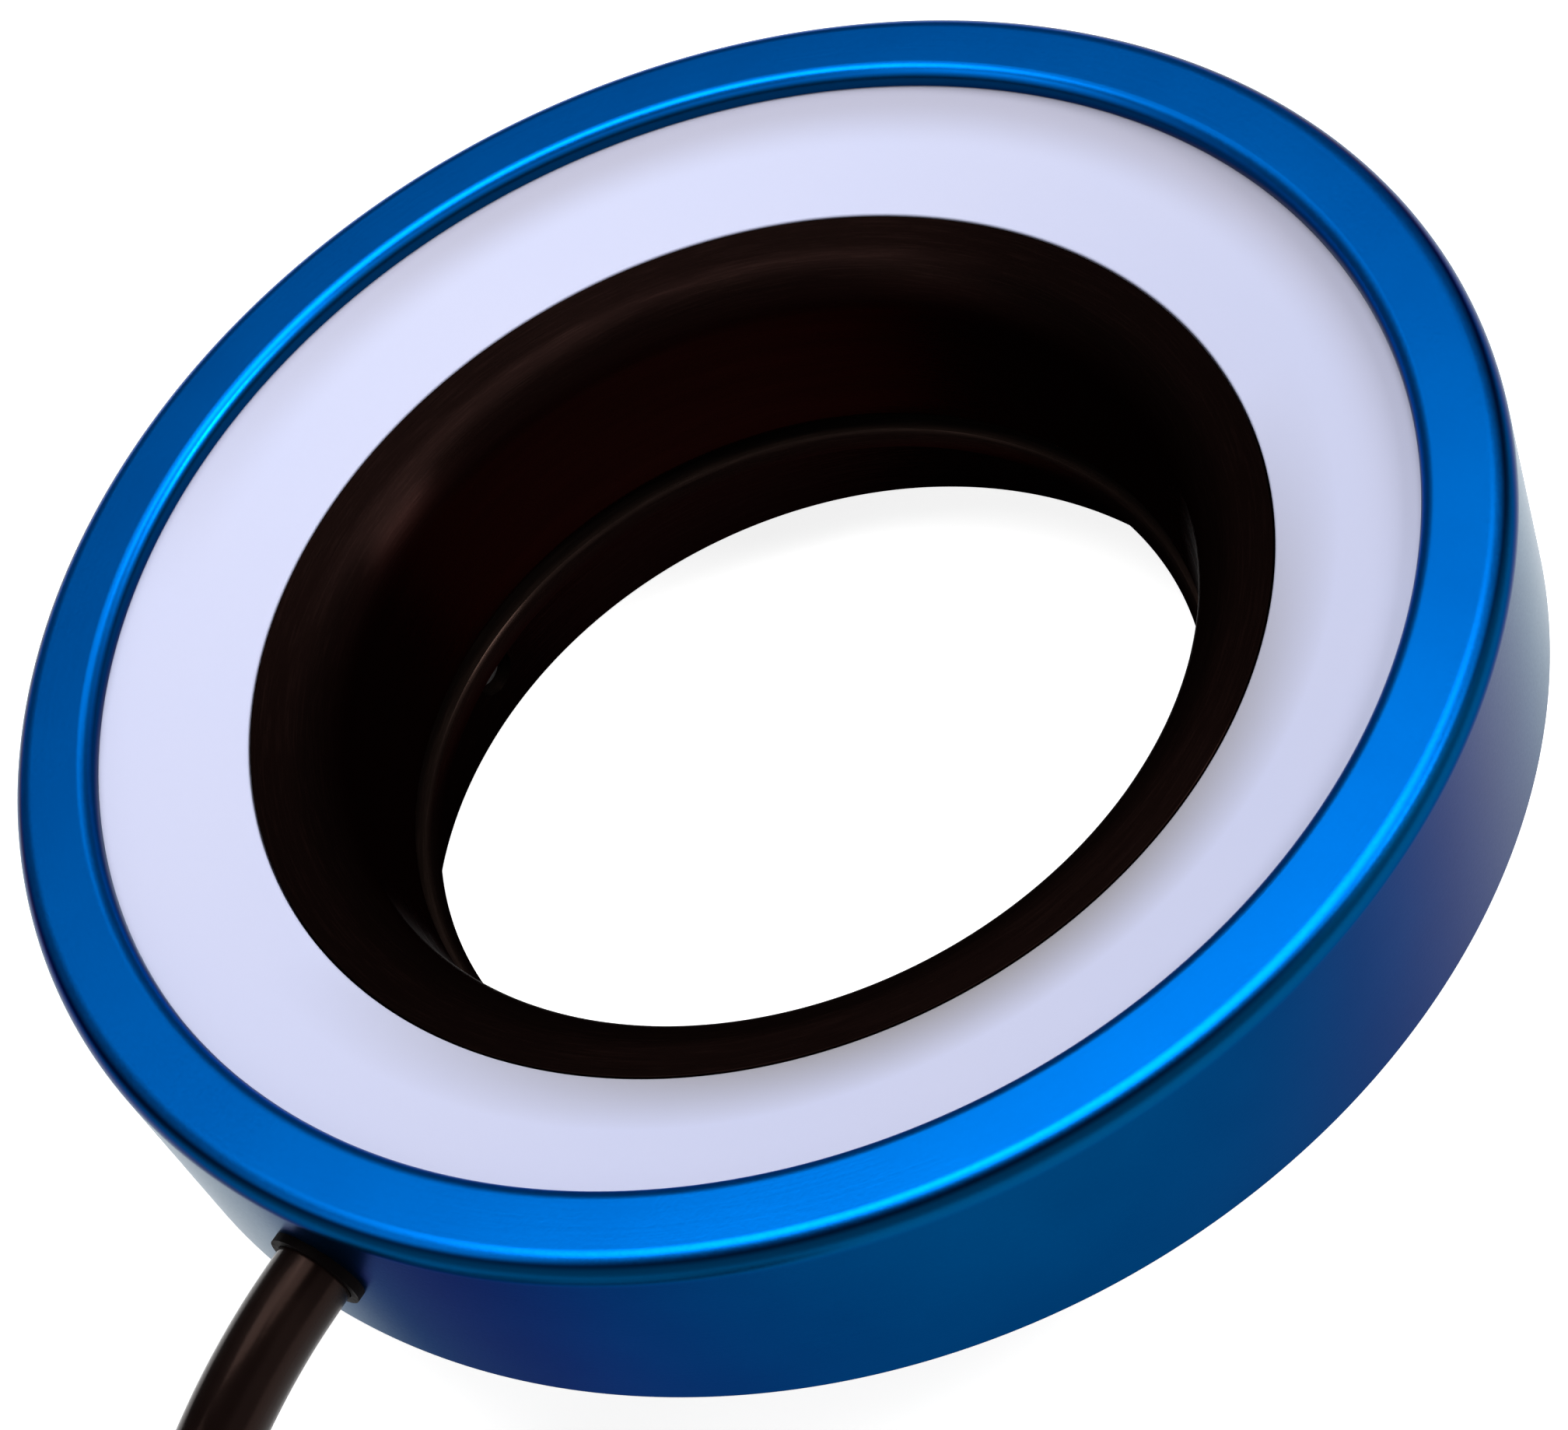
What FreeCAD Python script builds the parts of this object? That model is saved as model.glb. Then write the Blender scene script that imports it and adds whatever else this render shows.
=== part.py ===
import FreeCAD, Part

import math
import os

# Ring light for a camera lens, in millimetres. The collar stands on z = 0, the light shines along +Z,
# Z is the ring's axis, and the cable leaves the side wall along -Y.

# Clearances
fit_gap = 0.05        # between turned pieces that locate each other, and round threads
seat_gap = 0.05       # under what lies on a conical seat
slip_gap = 0.1        # where a piece drops in loosely
screw_gap = 0.1       # round the shank of a screw that passes through

# Widths from the lens outwards. They add up to the outside diameter, 90.
lens_radius = 28.25       # of the bore behind that takes the lens
stop_width = 3.76         # ledge that the lens butts against
throat_width = 0.86       # from the ledge's edge out to the throat
mouth_width = 5.77        # from the throat out to the crest of the bell mouth
barrel_shoulder = 1.48    # under the diffuser's inner edge
light_width = 8.68        # diffuser that shows
rim_width = 5.2           # housing in front, from the lip to the outside

# Heights
collar_height = 12.6      # behind the housing
housing_height = 14.7
base_thickness = 3.0
lip_depth = 1.42          # from the front face down to the diffuser

# Housing: a ring with a lip in front and an open back
front_rounding = 1.1
lip_rounding = 0.9
lip_overlap = 0.8         # how far the lip covers the diffuser
skirt_wall = 0.75         # round the base
back_chamfer = 0.3

# Diffuser: a shallow cone that falls towards the middle
cone_angle = math.radians(15)
diffuser_thickness = 1.25

# Barrel: the turned bell mouth and its base
mouth_fall = math.radians(8.8)
mouth_arc = 3.5
throat_taper = math.radians(6.3)
spigot_wall = 1.65
spigot_length = 1.3

# Collar: holds the lens from behind
collar_wall = 4.75
collar_flange_width = 5.0
collar_flange = 2.5
stop_top = 2.2            # from the flange's face down to the ledge
stop_thickness = 1.15
stop_chamfer = 0.26
lens_chamfer = 0.5

# Set screws: M3 in the collar
set_screw_count = 3
set_screw_azimuth = 60
set_screw_radius = 1.5
set_screw_length = 4.0
set_screw_z = 4.4
set_screw_tip = 0.45
set_screw_socket = 0.75   # half the hexagon's width across flats
set_screw_sink = 0.05     # outer end below the collar's surface

# Countersunk M2 screws: the base in the housing, and the collar on the base
housing_screw_count = 6
housing_screw_length = 6.0
housing_screw_edge = 0.15
thread_runout = 1.0
collar_screw_count = 4
collar_screw_length = 5.0
screw_radius = 1.0
screw_head_radius = 1.8
screw_head_rim = 0.15
recess_depth = 0.6        # of the cross in the head
recess_width = 0.45
recess_reach = 1.0

# Mounting holes in the base: M3 threads on a circle of 80
mount_count = 4
mount_azimuth = 45
mount_margin = 2.0        # from the collar's flange out to their middles
mount_hole_radius = 1.25

# Cable
cable_azimuth = 270
cable_radius = 2.35
cable_headroom = 0.68     # under the diffuser, with the clamp between
core_radius = 0.55
core_offset = 0.7
core_reach = 1.7
grommet_wall = 0.25
grommet_flange = 0.5
grommet_flange_width = 0.25

# Clamp over the jacket, on a block of the carrier
clamp_thickness = 0.3
clamp_width = 2.4
clamp_inset = 1.9         # from the carrier's wall to its middle
clamp_foot = 6.2          # half of its length
clamp_screw_radius = 0.8
clamp_screw_head = 1.4
clamp_screw_head_height = 0.8
clamp_screw_floor = 0.4   # left under the threads
block_margin = 0.2        # round the clamp's feet
block_length = 3.5
block_drop = 2.1          # of its top below the cable's axis
jacket_past_block = 0.2

# Carrier and what lies on it
carrier_wall = 1.0
carrier_floor = 0.78      # at the seat's inner edge
tape_thickness = 0.2
tape_margin = 0.3
board_thickness = 0.4
board_clearance = 0.92    # from the block to the board's ends
led_length = 3.5
led_width = 2.8
led_height = 1.9
led_edge = 0.15           # from the board's edges
led_row_gap = 0.25
led_pitch = 6.5
resistor_length = 1.6
resistor_width = 0.8
resistor_height = 0.5
resistor_count = 12
pad_radius = 0.9
pad_height = 0.9
pad_top_radius = 0.54
pad_edge = 0.23

# Route of the free stretch: distance from the ring's axis and height
lead_route = (
    (45.0, 20.7), (46.4, 20.7), (49.2, 20.55), (51.96, 20.11), (54.67, 19.39), (57.28, 18.39),
    (61.2, 16.39), (64.75, 13.79), (68.95, 9.51), (72.5, 6.92), (76.44, 4.95), (80.64, 3.65),
    (85.0, 3.05), (89.4, 3.05),
)

# Coil and what is on the cable's far end
coil_rise = 0.7           # of the cable above the floor, for the tie under it
coil_radius = 29.6        # of the first turn's start
coil_gap = 0.5            # between turns and between layers
coil_turns = 1.0          # in the lower layer
coil_end_turns = 1.748    # turns in all
end_run = 4.7             # straight cable before the first turn
tail_run = 9.0            # straight cable before the tail comes down
tail_slope = 25.0         # of the tail half way down, in degrees
sleeve_run = 8.0          # straight cable at the far end
tie_gap = 0.2
tie_thickness = 0.5
tie_width = 2.5
tie_azimuths = (55, 235)
sleeve_wall = 0.4
sleeve_on_jacket = 7.0
sleeve_past_jacket = 4.0
sleeve_nose = 1.9
sleeve_taper = 1.5
tail_core_radius = 0.7
tail_core_offset = 0.85
tail_core_bow = 1.35
tail_core_end = 1.1       # straight beside the sleeve and the plug
tail_core_length = 15.0   # from the jacket's end to the plug
core_in_shell = 1.5
shell_length = 14.0
shell_width = 6.4
shell_height = 6.0
shell_wall = 0.8
shell_depth = 6.0
shell_chamfer = 0.4
latch_length = 9.0
latch_root = 2.0
latch_width = 2.6
latch_thickness = 0.9
latch_rise = 0.5
contact_half = 0.32
contact_length = 11.0
contact_offset = 1.3

# Radii that follow
stop_radius = lens_radius - stop_width
throat_radius = stop_radius + throat_width
spigot_radius = throat_radius + spigot_wall
mouth_radius = throat_radius + mouth_width
barrel_radius = mouth_radius + barrel_shoulder
lip_radius = mouth_radius + light_width
housing_radius = lip_radius + rim_width
chamber_radius = lip_radius + lip_overlap
skirt_radius = housing_radius - skirt_wall
base_radius = skirt_radius - fit_gap
collar_radius = lens_radius + collar_wall
collar_flange_radius = collar_radius + collar_flange_width
mount_circle = collar_flange_radius + mount_margin
housing_screw_circle = base_radius - housing_screw_edge - screw_head_radius
collar_screw_circle = (collar_radius + collar_flange_radius) / 2
carrier_inner = barrel_radius + slip_gap
carrier_radius = chamber_radius - slip_gap
carrier_step = carrier_radius - carrier_wall
board_inner = carrier_inner + tape_margin
board_outer = carrier_step - tape_margin
pad_circle = (board_inner + board_outer) / 2
clamp_middle = carrier_step - clamp_inset
block_start = carrier_step - block_length
jacket_end = block_start - jacket_past_block
grommet_bore = cable_radius + fit_gap
grommet_radius = grommet_bore + grommet_wall
cable_arch = cable_radius + fit_gap
clamp_screw_offset = (cable_arch + clamp_thickness + clamp_foot) / 2
block_half = clamp_foot + block_margin
coil_pitch = 2 * cable_radius + coil_gap

# Heights that follow
back_z = collar_height
front_z = back_z + housing_height
base_top = back_z + base_thickness
lip_z = front_z - lip_depth
coil_z = coil_rise + cable_radius

# Degrees that the board and the LEDs leave open on each side of the cable
board_gap = math.degrees(math.atan((block_half + board_clearance) / block_start))
pad_turn = board_gap + math.degrees((pad_radius + pad_edge) / pad_circle)
led_gap = pad_turn + math.degrees((pad_radius + pad_edge + led_length / 2) / board_inner)

X = FreeCAD.Vector(1, 0, 0)
Z = FreeCAD.Vector(0, 0, 1)
ORIGIN = FreeCAD.Vector(0, 0, 0)
CABLE_WAY = FreeCAD.Vector(0, -1, 0)


def diffuser_top(radius):
    return lip_z + (radius - lip_radius) * math.tan(cone_angle)


def diffuser_under(radius):
    return diffuser_top(radius) - diffuser_thickness


def seat_top(radius):
    return base_top + carrier_floor + (radius - carrier_inner) * math.tan(cone_angle)


def board_under(radius):
    return seat_top(radius) + 2 * seat_gap + tape_thickness


def board_top(radius):
    return board_under(radius) + board_thickness


cable_z = diffuser_under(clamp_middle - clamp_width / 2) - cable_headroom - cable_radius
block_top = cable_z - block_drop
clamp_screw_length = block_top - base_top - clamp_screw_floor + clamp_thickness


def polar(radius, degrees, z):
    turn = math.radians(degrees)
    return FreeCAD.Vector(radius * math.cos(turn), radius * math.sin(turn), z)


def angles(count, first):
    return [first + 360.0 * step / count for step in range(count)]


def turned(outline, sweep=360.0, start=0.0):
    """Turns an outline about Z. A point is (radius, z), and (radius, z, radius, z) is an arc by way of the
    first pair to the second."""
    edges = []
    here = FreeCAD.Vector(outline[0][0], 0, outline[0][1])
    first = here
    for step in outline[1:] + [outline[0]]:
        there = FreeCAD.Vector(step[-2], 0, step[-1])
        if len(step) == 4:
            middle = FreeCAD.Vector(step[0], 0, step[1])
            edges.append(Part.Arc(here, middle, there).toShape())
        elif there.distanceToPoint(here) > 1e-6:
            edges.append(Part.makeLine(here, there))
        here = there
    assert here.distanceToPoint(first) < 1e-6
    solid = Part.Face(Part.Wire(edges)).revolve(ORIGIN, Z, sweep)
    solid.rotate(ORIGIN, Z, start)
    return solid


def upright(radius, centre, bottom, top):
    return Part.makeCylinder(radius, top - bottom, FreeCAD.Vector(centre.x, centre.y, bottom), Z)


def radial(radius, inner, outer, degrees, z):
    start = polar(inner, degrees, z)
    return Part.makeCylinder(radius, outer - inner, start, polar(1, degrees, 0))


def cut_all(solid, tools):
    return solid.cut(Part.makeCompound(tools))


def placed_about(shape, radius, count, first):
    copies = []
    for turn in angles(count, first):
        copy = shape.copy()
        copy.translate(FreeCAD.Vector(radius, 0, 0))
        copy.rotate(ORIGIN, Z, turn)
        copies.append(copy)
    return copies


def rounded_route(points):
    """Straight runs joined by tangent arcs, each 0.45 of its shorter run from the corner."""
    edges = []
    radii = []
    here = points[0]
    for before, corner, after in zip(points, points[1:], points[2:]):
        into = (corner - before).normalize()
        out = (after - corner).normalize()
        setback = 0.45 * min(corner.distanceToPoint(before), corner.distanceToPoint(after))
        half_turn = into.getAngle(out) / 2
        radii.append(setback / math.tan(half_turn))
        arc_start = corner - into * setback
        arc_end = corner + out * setback
        inwards = (out - into).normalize()
        middle = corner + inwards * (radii[-1] / math.cos(half_turn) - radii[-1])
        edges.append(Part.LineSegment(here, arc_start).toShape())
        edges.append(Part.Arc(arc_start, middle, arc_end).toShape())
        here = arc_end
    edges.append(Part.LineSegment(here, points[-1]).toShape())
    return Part.Wire(edges), radii


def tangent_arc(start, corner, end):
    """Arc from start to end whose tangents meet at the corner, and its radius."""
    chord_middle = (start + end) * 0.5
    half_chord = start.distanceToPoint(end) / 2
    half_turn = (corner - start).getAngle(end - corner) / 2
    sagitta = half_chord * math.tan(half_turn / 2)
    middle = chord_middle + (corner - chord_middle).normalize() * sagitta
    return Part.Arc(start, middle, end).toShape(), half_chord / math.sin(half_turn)


def biarc(start, start_way, end, end_way):
    """Two tangent arcs of equal reach between two points with given directions."""
    across = end - start
    ways = start_way + end_way
    a = 2 * (start_way.dot(end_way) - 1)
    b = -2 * across.dot(ways)
    c = across.dot(across)
    reach = (-b - math.sqrt(b * b - 4 * a * c)) / (2 * a)
    if reach < 0:
        reach = (-b + math.sqrt(b * b - 4 * a * c)) / (2 * a)
    first_corner = start + start_way * reach
    last_corner = end - end_way * reach
    joint = (first_corner + last_corner) * 0.5
    arcs = [tangent_arc(start, first_corner, joint), tangent_arc(joint, last_corner, end)]
    return [arc for arc, _ in arcs], [radius for _, radius in arcs]


def tube(route, radius):
    """Round solid along a route."""
    start = route.OrderedEdges[0].valueAt(route.OrderedEdges[0].FirstParameter)
    way = route.OrderedEdges[0].tangentAt(route.OrderedEdges[0].FirstParameter)
    section = Part.Wire([Part.Circle(start, way, radius).toShape()])
    shell = Part.BRepOffsetAPI.MakePipeShell(route)
    shell.add(section)
    shell.build()
    shell.makeSolid()
    return shell.shape()


def cross_screw(length):
    """Countersunk screw with its head's face at z = 0 and its shank along +Z."""
    cone = screw_head_rim + screw_head_radius - screw_radius
    outline = [(0, 0), (screw_head_radius, 0), (screw_head_radius, screw_head_rim),
               (screw_radius, cone), (screw_radius, length), (0, length)]
    arm = Part.makeBox(2 * recess_reach, recess_width, recess_depth,
                       FreeCAD.Vector(-recess_reach, -recess_width / 2, 0))
    other_arm = arm.copy()
    other_arm.rotate(ORIGIN, Z, 90)
    return turned(outline).cut(arm.fuse(other_arm))


def screw_room(depth):
    """What a countersunk screw's hole takes away: its head's seat, then its shank."""
    seat = screw_head_radius + fit_gap
    shank = screw_radius + screw_gap
    outline = [(0, -1), (seat, -1), (seat, screw_head_rim), (shank, screw_head_rim + seat - shank),
               (shank, depth), (0, depth)]
    return turned(outline)


def on_seat(shape, radius, degrees, z):
    """Lays a shape, drawn at the origin with its base on z = 0, on the cone at a radius and a turn."""
    laid = shape.copy()
    laid.rotate(ORIGIN, FreeCAD.Vector(0, 1, 0), -math.degrees(cone_angle))
    laid.translate(FreeCAD.Vector(radius, 0, z + seat_gap))
    laid.rotate(ORIGIN, Z, degrees)
    return laid


def chip(length, width, height):
    """Box with its length round the ring."""
    return Part.makeBox(width, length, height, FreeCAD.Vector(-width / 2, -length / 2, 0))


def make_housing():
    rim_middle = front_rounding * (1 - math.sqrt(0.5))
    lip_middle = lip_rounding * (1 - math.sqrt(0.5))
    outline = [
        (skirt_radius, back_z),
        (housing_radius - back_chamfer, back_z),
        (housing_radius, back_z + back_chamfer),
        (housing_radius, front_z - front_rounding),
        (housing_radius - rim_middle, front_z - rim_middle, housing_radius - front_rounding, front_z),
        (lip_radius + lip_rounding, front_z),
        (lip_radius + lip_middle, front_z - lip_middle, lip_radius, front_z - lip_rounding),
        (lip_radius, diffuser_top(lip_radius) + seat_gap),
        (chamber_radius, diffuser_top(chamber_radius) + seat_gap),
        (chamber_radius, base_top),
        (skirt_radius, base_top),
    ]
    cutters = [radial(grommet_radius + fit_gap, lip_radius, housing_radius + 1, cable_azimuth, cable_z)]
    depth = back_z + housing_screw_length + thread_runout
    for turn in angles(housing_screw_count, 0):
        cutters.append(upright(screw_radius + fit_gap, polar(housing_screw_circle, turn, 0), back_z, depth))
    return cut_all(turned(outline), cutters)


def make_barrel():
    """The bell mouth: a shallow fall from the crest, an arc, and a wall that tapers in to the throat."""
    crest_z = diffuser_top(mouth_radius)
    fall = FreeCAD.Vector(-math.cos(mouth_fall), 0, -math.sin(mouth_fall))
    fall_in = FreeCAD.Vector(math.sin(mouth_fall), 0, -math.cos(mouth_fall))
    wall = FreeCAD.Vector(math.sin(throat_taper), 0, math.cos(throat_taper))
    wall_in = FreeCAD.Vector(math.cos(throat_taper), 0, -math.sin(throat_taper))
    crest = FreeCAD.Vector(mouth_radius, 0, crest_z)
    throat = FreeCAD.Vector(throat_radius, 0, back_z)
    # the arc's centre lies one arc radius inside both lines
    to_throat = throat + wall_in * mouth_arc - crest - fall_in * mouth_arc
    cross = wall.x * fall.z - wall.z * fall.x
    along_wall = (to_throat.z * fall.x - to_throat.x * fall.z) / cross
    centre = throat + wall_in * mouth_arc + wall * along_wall
    arc_top = centre - fall_in * mouth_arc
    arc_foot = centre - wall_in * mouth_arc
    arc_middle = centre - (fall_in + wall_in).normalize() * mouth_arc
    lower_radius = throat_radius - spigot_length * math.tan(throat_taper)
    shoulder_inner = diffuser_under(mouth_radius) - seat_gap
    shoulder_outer = diffuser_under(barrel_radius) - seat_gap
    outline = [
        (lower_radius, back_z - spigot_length),
        (arc_foot.x, arc_foot.z),
        (arc_middle.x, arc_middle.z, arc_top.x, arc_top.z),
        (mouth_radius, crest_z),
        (mouth_radius, shoulder_inner),
        (barrel_radius, shoulder_outer),
        (barrel_radius, base_top),
        (base_radius, base_top),
        (base_radius, back_z),
        (spigot_radius, back_z),
        (spigot_radius, back_z - spigot_length),
    ]
    cutters = []
    for turn in angles(mount_count, mount_azimuth):
        cutters.append(upright(mount_hole_radius, polar(mount_circle, turn, 0), back_z - 1, base_top + 1))
    for turn in angles(collar_screw_count, 0):
        hole = polar(collar_screw_circle, turn, 0)
        cutters.append(upright(screw_radius + fit_gap, hole, back_z - 1, base_top + 1))
    room = screw_room(base_thickness + 1)
    room.translate(FreeCAD.Vector(0, 0, back_z))
    cutters += placed_about(room, housing_screw_circle, housing_screw_count, 0)
    return cut_all(turned(outline), cutters)


def make_collar():
    flange_under = collar_height - collar_flange
    stop_z = collar_height - stop_top
    register = spigot_radius + fit_gap
    outline = [
        (lens_radius + lens_chamfer, 0),
        (collar_radius - lens_chamfer, 0),
        (collar_radius, lens_chamfer),
        (collar_radius, flange_under),
        (collar_flange_radius, flange_under),
        (collar_flange_radius, collar_height),
        (register, collar_height),
        (register, stop_z),
        (stop_radius + 2 * stop_chamfer, stop_z),
        (stop_radius + stop_chamfer, stop_z - stop_chamfer),
        (stop_radius, stop_z - stop_thickness),
        (lens_radius, stop_z - stop_thickness),
        (lens_radius, lens_chamfer),
    ]
    cutters = []
    for turn in angles(set_screw_count, set_screw_azimuth):
        cutters.append(radial(set_screw_radius + fit_gap, stop_radius, collar_radius + 1, turn, set_screw_z))
    room = screw_room(collar_flange + 1)
    room.translate(FreeCAD.Vector(0, 0, flange_under))
    cutters += placed_about(room, collar_screw_circle, collar_screw_count, 0)
    return cut_all(turned(outline), cutters)


def make_set_screw(turn):
    """Socket set screw with a cup point, its outer end just below the collar's surface."""
    outer = collar_radius - set_screw_sink
    inner = outer - set_screw_length
    cup = set_screw_radius - 2 * set_screw_tip
    outline = [(0, cup), (cup, 0), (set_screw_radius - set_screw_tip, 0), (set_screw_radius, set_screw_tip),
               (set_screw_radius, set_screw_length), (0, set_screw_length)]
    screw = turned(outline)
    across_corners = set_screw_socket / math.cos(math.pi / 6)
    corners = [polar(across_corners, 60 * step, set_screw_length) for step in range(7)]
    socket = Part.Face(Part.makePolygon(corners)).extrude(Z * (-set_screw_length / 2))
    screw = screw.cut(socket)
    screw.rotate(ORIGIN, FreeCAD.Vector(0, 1, 0), 90)
    screw.translate(FreeCAD.Vector(inner, 0, set_screw_z))
    screw.rotate(ORIGIN, Z, turn)
    return screw


def make_diffuser():
    inner = mouth_radius + slip_gap
    outer = carrier_radius
    return turned([(inner, diffuser_under(inner)), (outer, diffuser_under(outer)),
                   (outer, diffuser_top(outer)), (inner, diffuser_top(inner))])


def make_carrier():
    """Ring with a conical seat, a wall that carries the diffuser's edge, and a block for the clamp."""
    ring = turned([
        (carrier_inner, base_top),
        (carrier_radius, base_top),
        (carrier_radius, diffuser_under(carrier_radius) - seat_gap),
        (carrier_step, diffuser_under(carrier_step) - seat_gap),
        (carrier_step, seat_top(carrier_step)),
        (carrier_inner, seat_top(carrier_inner)),
    ])
    block = Part.makeBox(2 * block_half, block_length, block_top - base_top,
                         FreeCAD.Vector(-block_half, -carrier_step, base_top))
    cutters = [radial(cable_arch, block_start - 1, carrier_radius + 1, cable_azimuth, cable_z)]
    bottom = base_top + clamp_screw_floor
    for side in (-1, 1):
        hole = FreeCAD.Vector(side * clamp_screw_offset, -clamp_middle, 0)
        cutters.append(upright(clamp_screw_radius + fit_gap, hole, bottom, block_top + 1))
    return cut_all(ring.fuse(block).removeSplitter(), cutters)


def open_ring(inner, outer, under, thickness):
    """Conical ring that is open at the cable."""
    return turned([(inner, under(inner)), (outer, under(outer)), (outer, under(outer) + thickness),
                   (inner, under(inner) + thickness)], 360 - 2 * board_gap, cable_azimuth + board_gap)


def make_tape():
    return open_ring(board_inner, board_outer, lambda radius: seat_top(radius) + seat_gap, tape_thickness)


def make_board():
    return open_ring(board_inner, board_outer, board_under, board_thickness)


def led_rows():
    """Radius of each row of LEDs and the azimuths of its LEDs."""
    room = board_outer - board_inner - 2 * led_edge
    count = int((room + led_row_gap) // (led_width + led_row_gap))
    first = board_inner + led_edge + led_width / 2
    last = board_outer - led_edge - led_width / 2
    rows = []
    for row in range(count):
        radius = first + (last - first) * row / max(count - 1, 1)
        span = 360 - 2 * led_gap
        spaces = int(math.radians(span) * radius // led_pitch)
        start = cable_azimuth + led_gap
        rows.append((radius, [start + span * place / spaces for place in range(spaces + 1)]))
    return rows


def make_leds():
    body = chip(led_length, led_width, led_height)
    leds = []
    for radius, turns in led_rows():
        leds += [on_seat(body, radius, turn, board_top(radius)) for turn in turns]
    return Part.makeCompound(leds)


def make_resistors():
    """One to each string, in the spaces between the outer LEDs."""
    radius, turns = led_rows()[-1]
    body = chip(resistor_width, resistor_length, resistor_height)
    spaces = [(one + two) / 2 for one, two in zip(turns, turns[1:])]
    places = [spaces[int((number + 0.5) * len(spaces) / resistor_count)] for number in range(resistor_count)]
    return Part.makeCompound([on_seat(body, radius, turn, board_top(radius)) for turn in places])


def make_core(side):
    """Insulated conductor from the jacket's end round to its pad; side is -1 or 1 along X."""
    pad = polar(pad_circle, cable_azimuth + side * pad_turn, board_top(pad_circle))
    start = FreeCAD.Vector(side * core_offset, -jacket_end, cable_z)
    points = [
        start,
        start + FreeCAD.Vector(0, core_reach, 0),
        pad + FreeCAD.Vector(-side * core_radius, core_reach / 2, core_reach),
        pad + FreeCAD.Vector(0, 0, pad_height / 2 + seat_gap),
    ]
    route, _ = rounded_route(points)
    return tube(route, core_radius)


def make_solder(cores):
    blobs = []
    shape = turned([(0, 0), (pad_radius, 0), (pad_top_radius, pad_height), (0, pad_height)])
    for side, core in cores.items():
        blob = on_seat(shape, pad_circle, cable_azimuth + side * pad_turn, board_top(pad_circle))
        blobs.append(blob.cut(core))
    return Part.makeCompound(blobs)


def make_clamp():
    """Strap with an arch over the jacket and two feet on the block."""
    outer = cable_arch + clamp_thickness
    back = FreeCAD.Vector(0, -clamp_middle - clamp_width / 2, cable_z)
    way = FreeCAD.Vector(0, 1, 0)
    rise = cable_z - block_top
    legs = Part.makeBox(2 * outer, clamp_width, rise, back - FreeCAD.Vector(outer, 0, rise))
    feet = Part.makeBox(2 * clamp_foot, clamp_width, clamp_thickness,
                        back - FreeCAD.Vector(clamp_foot, 0, rise))
    strap = Part.makeCylinder(outer, clamp_width, back, way).fuse([legs, feet])
    below = Part.makeBox(4 * outer, clamp_width, outer, back - FreeCAD.Vector(2 * outer, 0, rise + outer))
    inside = Part.makeBox(2 * cable_arch, clamp_width, rise, back - FreeCAD.Vector(cable_arch, 0, rise))
    cutters = [below, inside, Part.makeCylinder(cable_arch, clamp_width, back, way)]
    for side in (-1, 1):
        hole = FreeCAD.Vector(side * clamp_screw_offset, -clamp_middle, 0)
        cutters.append(upright(clamp_screw_radius + screw_gap, hole, block_top - 1, cable_z))
    return cut_all(strap, cutters).removeSplitter()


def make_clamp_screws():
    top = block_top + clamp_thickness
    outline = [(0, -clamp_screw_length), (clamp_screw_radius, -clamp_screw_length),
               (clamp_screw_radius, 0), (clamp_screw_head, 0),
               (clamp_screw_head, clamp_screw_head_height), (0, clamp_screw_head_height)]
    slot = Part.makeBox(2 * clamp_screw_head, recess_width, clamp_screw_head_height,
                        FreeCAD.Vector(-clamp_screw_head, -recess_width / 2, clamp_screw_head_height / 2))
    screw = turned(outline).cut(slot)
    screws = []
    for side in (-1, 1):
        copy = screw.copy()
        copy.translate(FreeCAD.Vector(side * clamp_screw_offset, -clamp_middle, top))
        screws.append(copy)
    return Part.makeCompound(screws)


def make_cable_entry():
    start = FreeCAD.Vector(0, -jacket_end, cable_z)
    return Part.makeCylinder(cable_radius, housing_radius - jacket_end, start, CABLE_WAY)


def make_grommet():
    """Bush through the wall with a thin flange that follows it outside."""
    inside = FreeCAD.Vector(0, -chamber_radius, cable_z)
    end = housing_radius + grommet_flange
    bush = Part.makeCylinder(grommet_radius, end - chamber_radius, inside, CABLE_WAY)
    flange_start = FreeCAD.Vector(0, -chamber_radius - grommet_flange, cable_z)
    flange = Part.makeCylinder(grommet_radius + grommet_flange_width, end - chamber_radius - grommet_flange,
                               flange_start, CABLE_WAY)
    flange = flange.cut(upright(housing_radius, ORIGIN, back_z, front_z))
    bore = Part.makeCylinder(grommet_bore, housing_radius, inside - CABLE_WAY, CABLE_WAY)
    return bush.fuse(flange).cut(bore)


def make_lead():
    """Free stretch: straight out of the wall, then down to the floor in an easy S."""
    return rounded_route([FreeCAD.Vector(0, -reach, height) for reach, height in lead_route])


def coil_place(turns):
    """Point of the coil's axis: spiral in on the floor, climb for half a turn, spiral out on top."""
    inner = coil_radius - coil_pitch * coil_turns
    climb = (turns - coil_turns) * 2 * math.pi
    if turns <= coil_turns:
        radius = coil_radius - coil_pitch * turns
        z = coil_z
    elif climb < math.pi:
        radius = inner - coil_pitch / (2 * math.pi) * math.sin(climb)
        z = coil_z + coil_pitch * (1 - math.cos(climb)) / 2
    else:
        radius = inner + coil_pitch * (turns - coil_turns - 0.5)
        z = coil_z + coil_pitch
    centre = FreeCAD.Vector(coil_radius, -lead_route[-1][0] - end_run, 0)
    return centre + polar(radius, 180 + 360 * turns, z)


def coil_way(turns):
    return (coil_place(turns + 1e-4) - coil_place(turns - 1e-4)).normalize()


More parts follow.
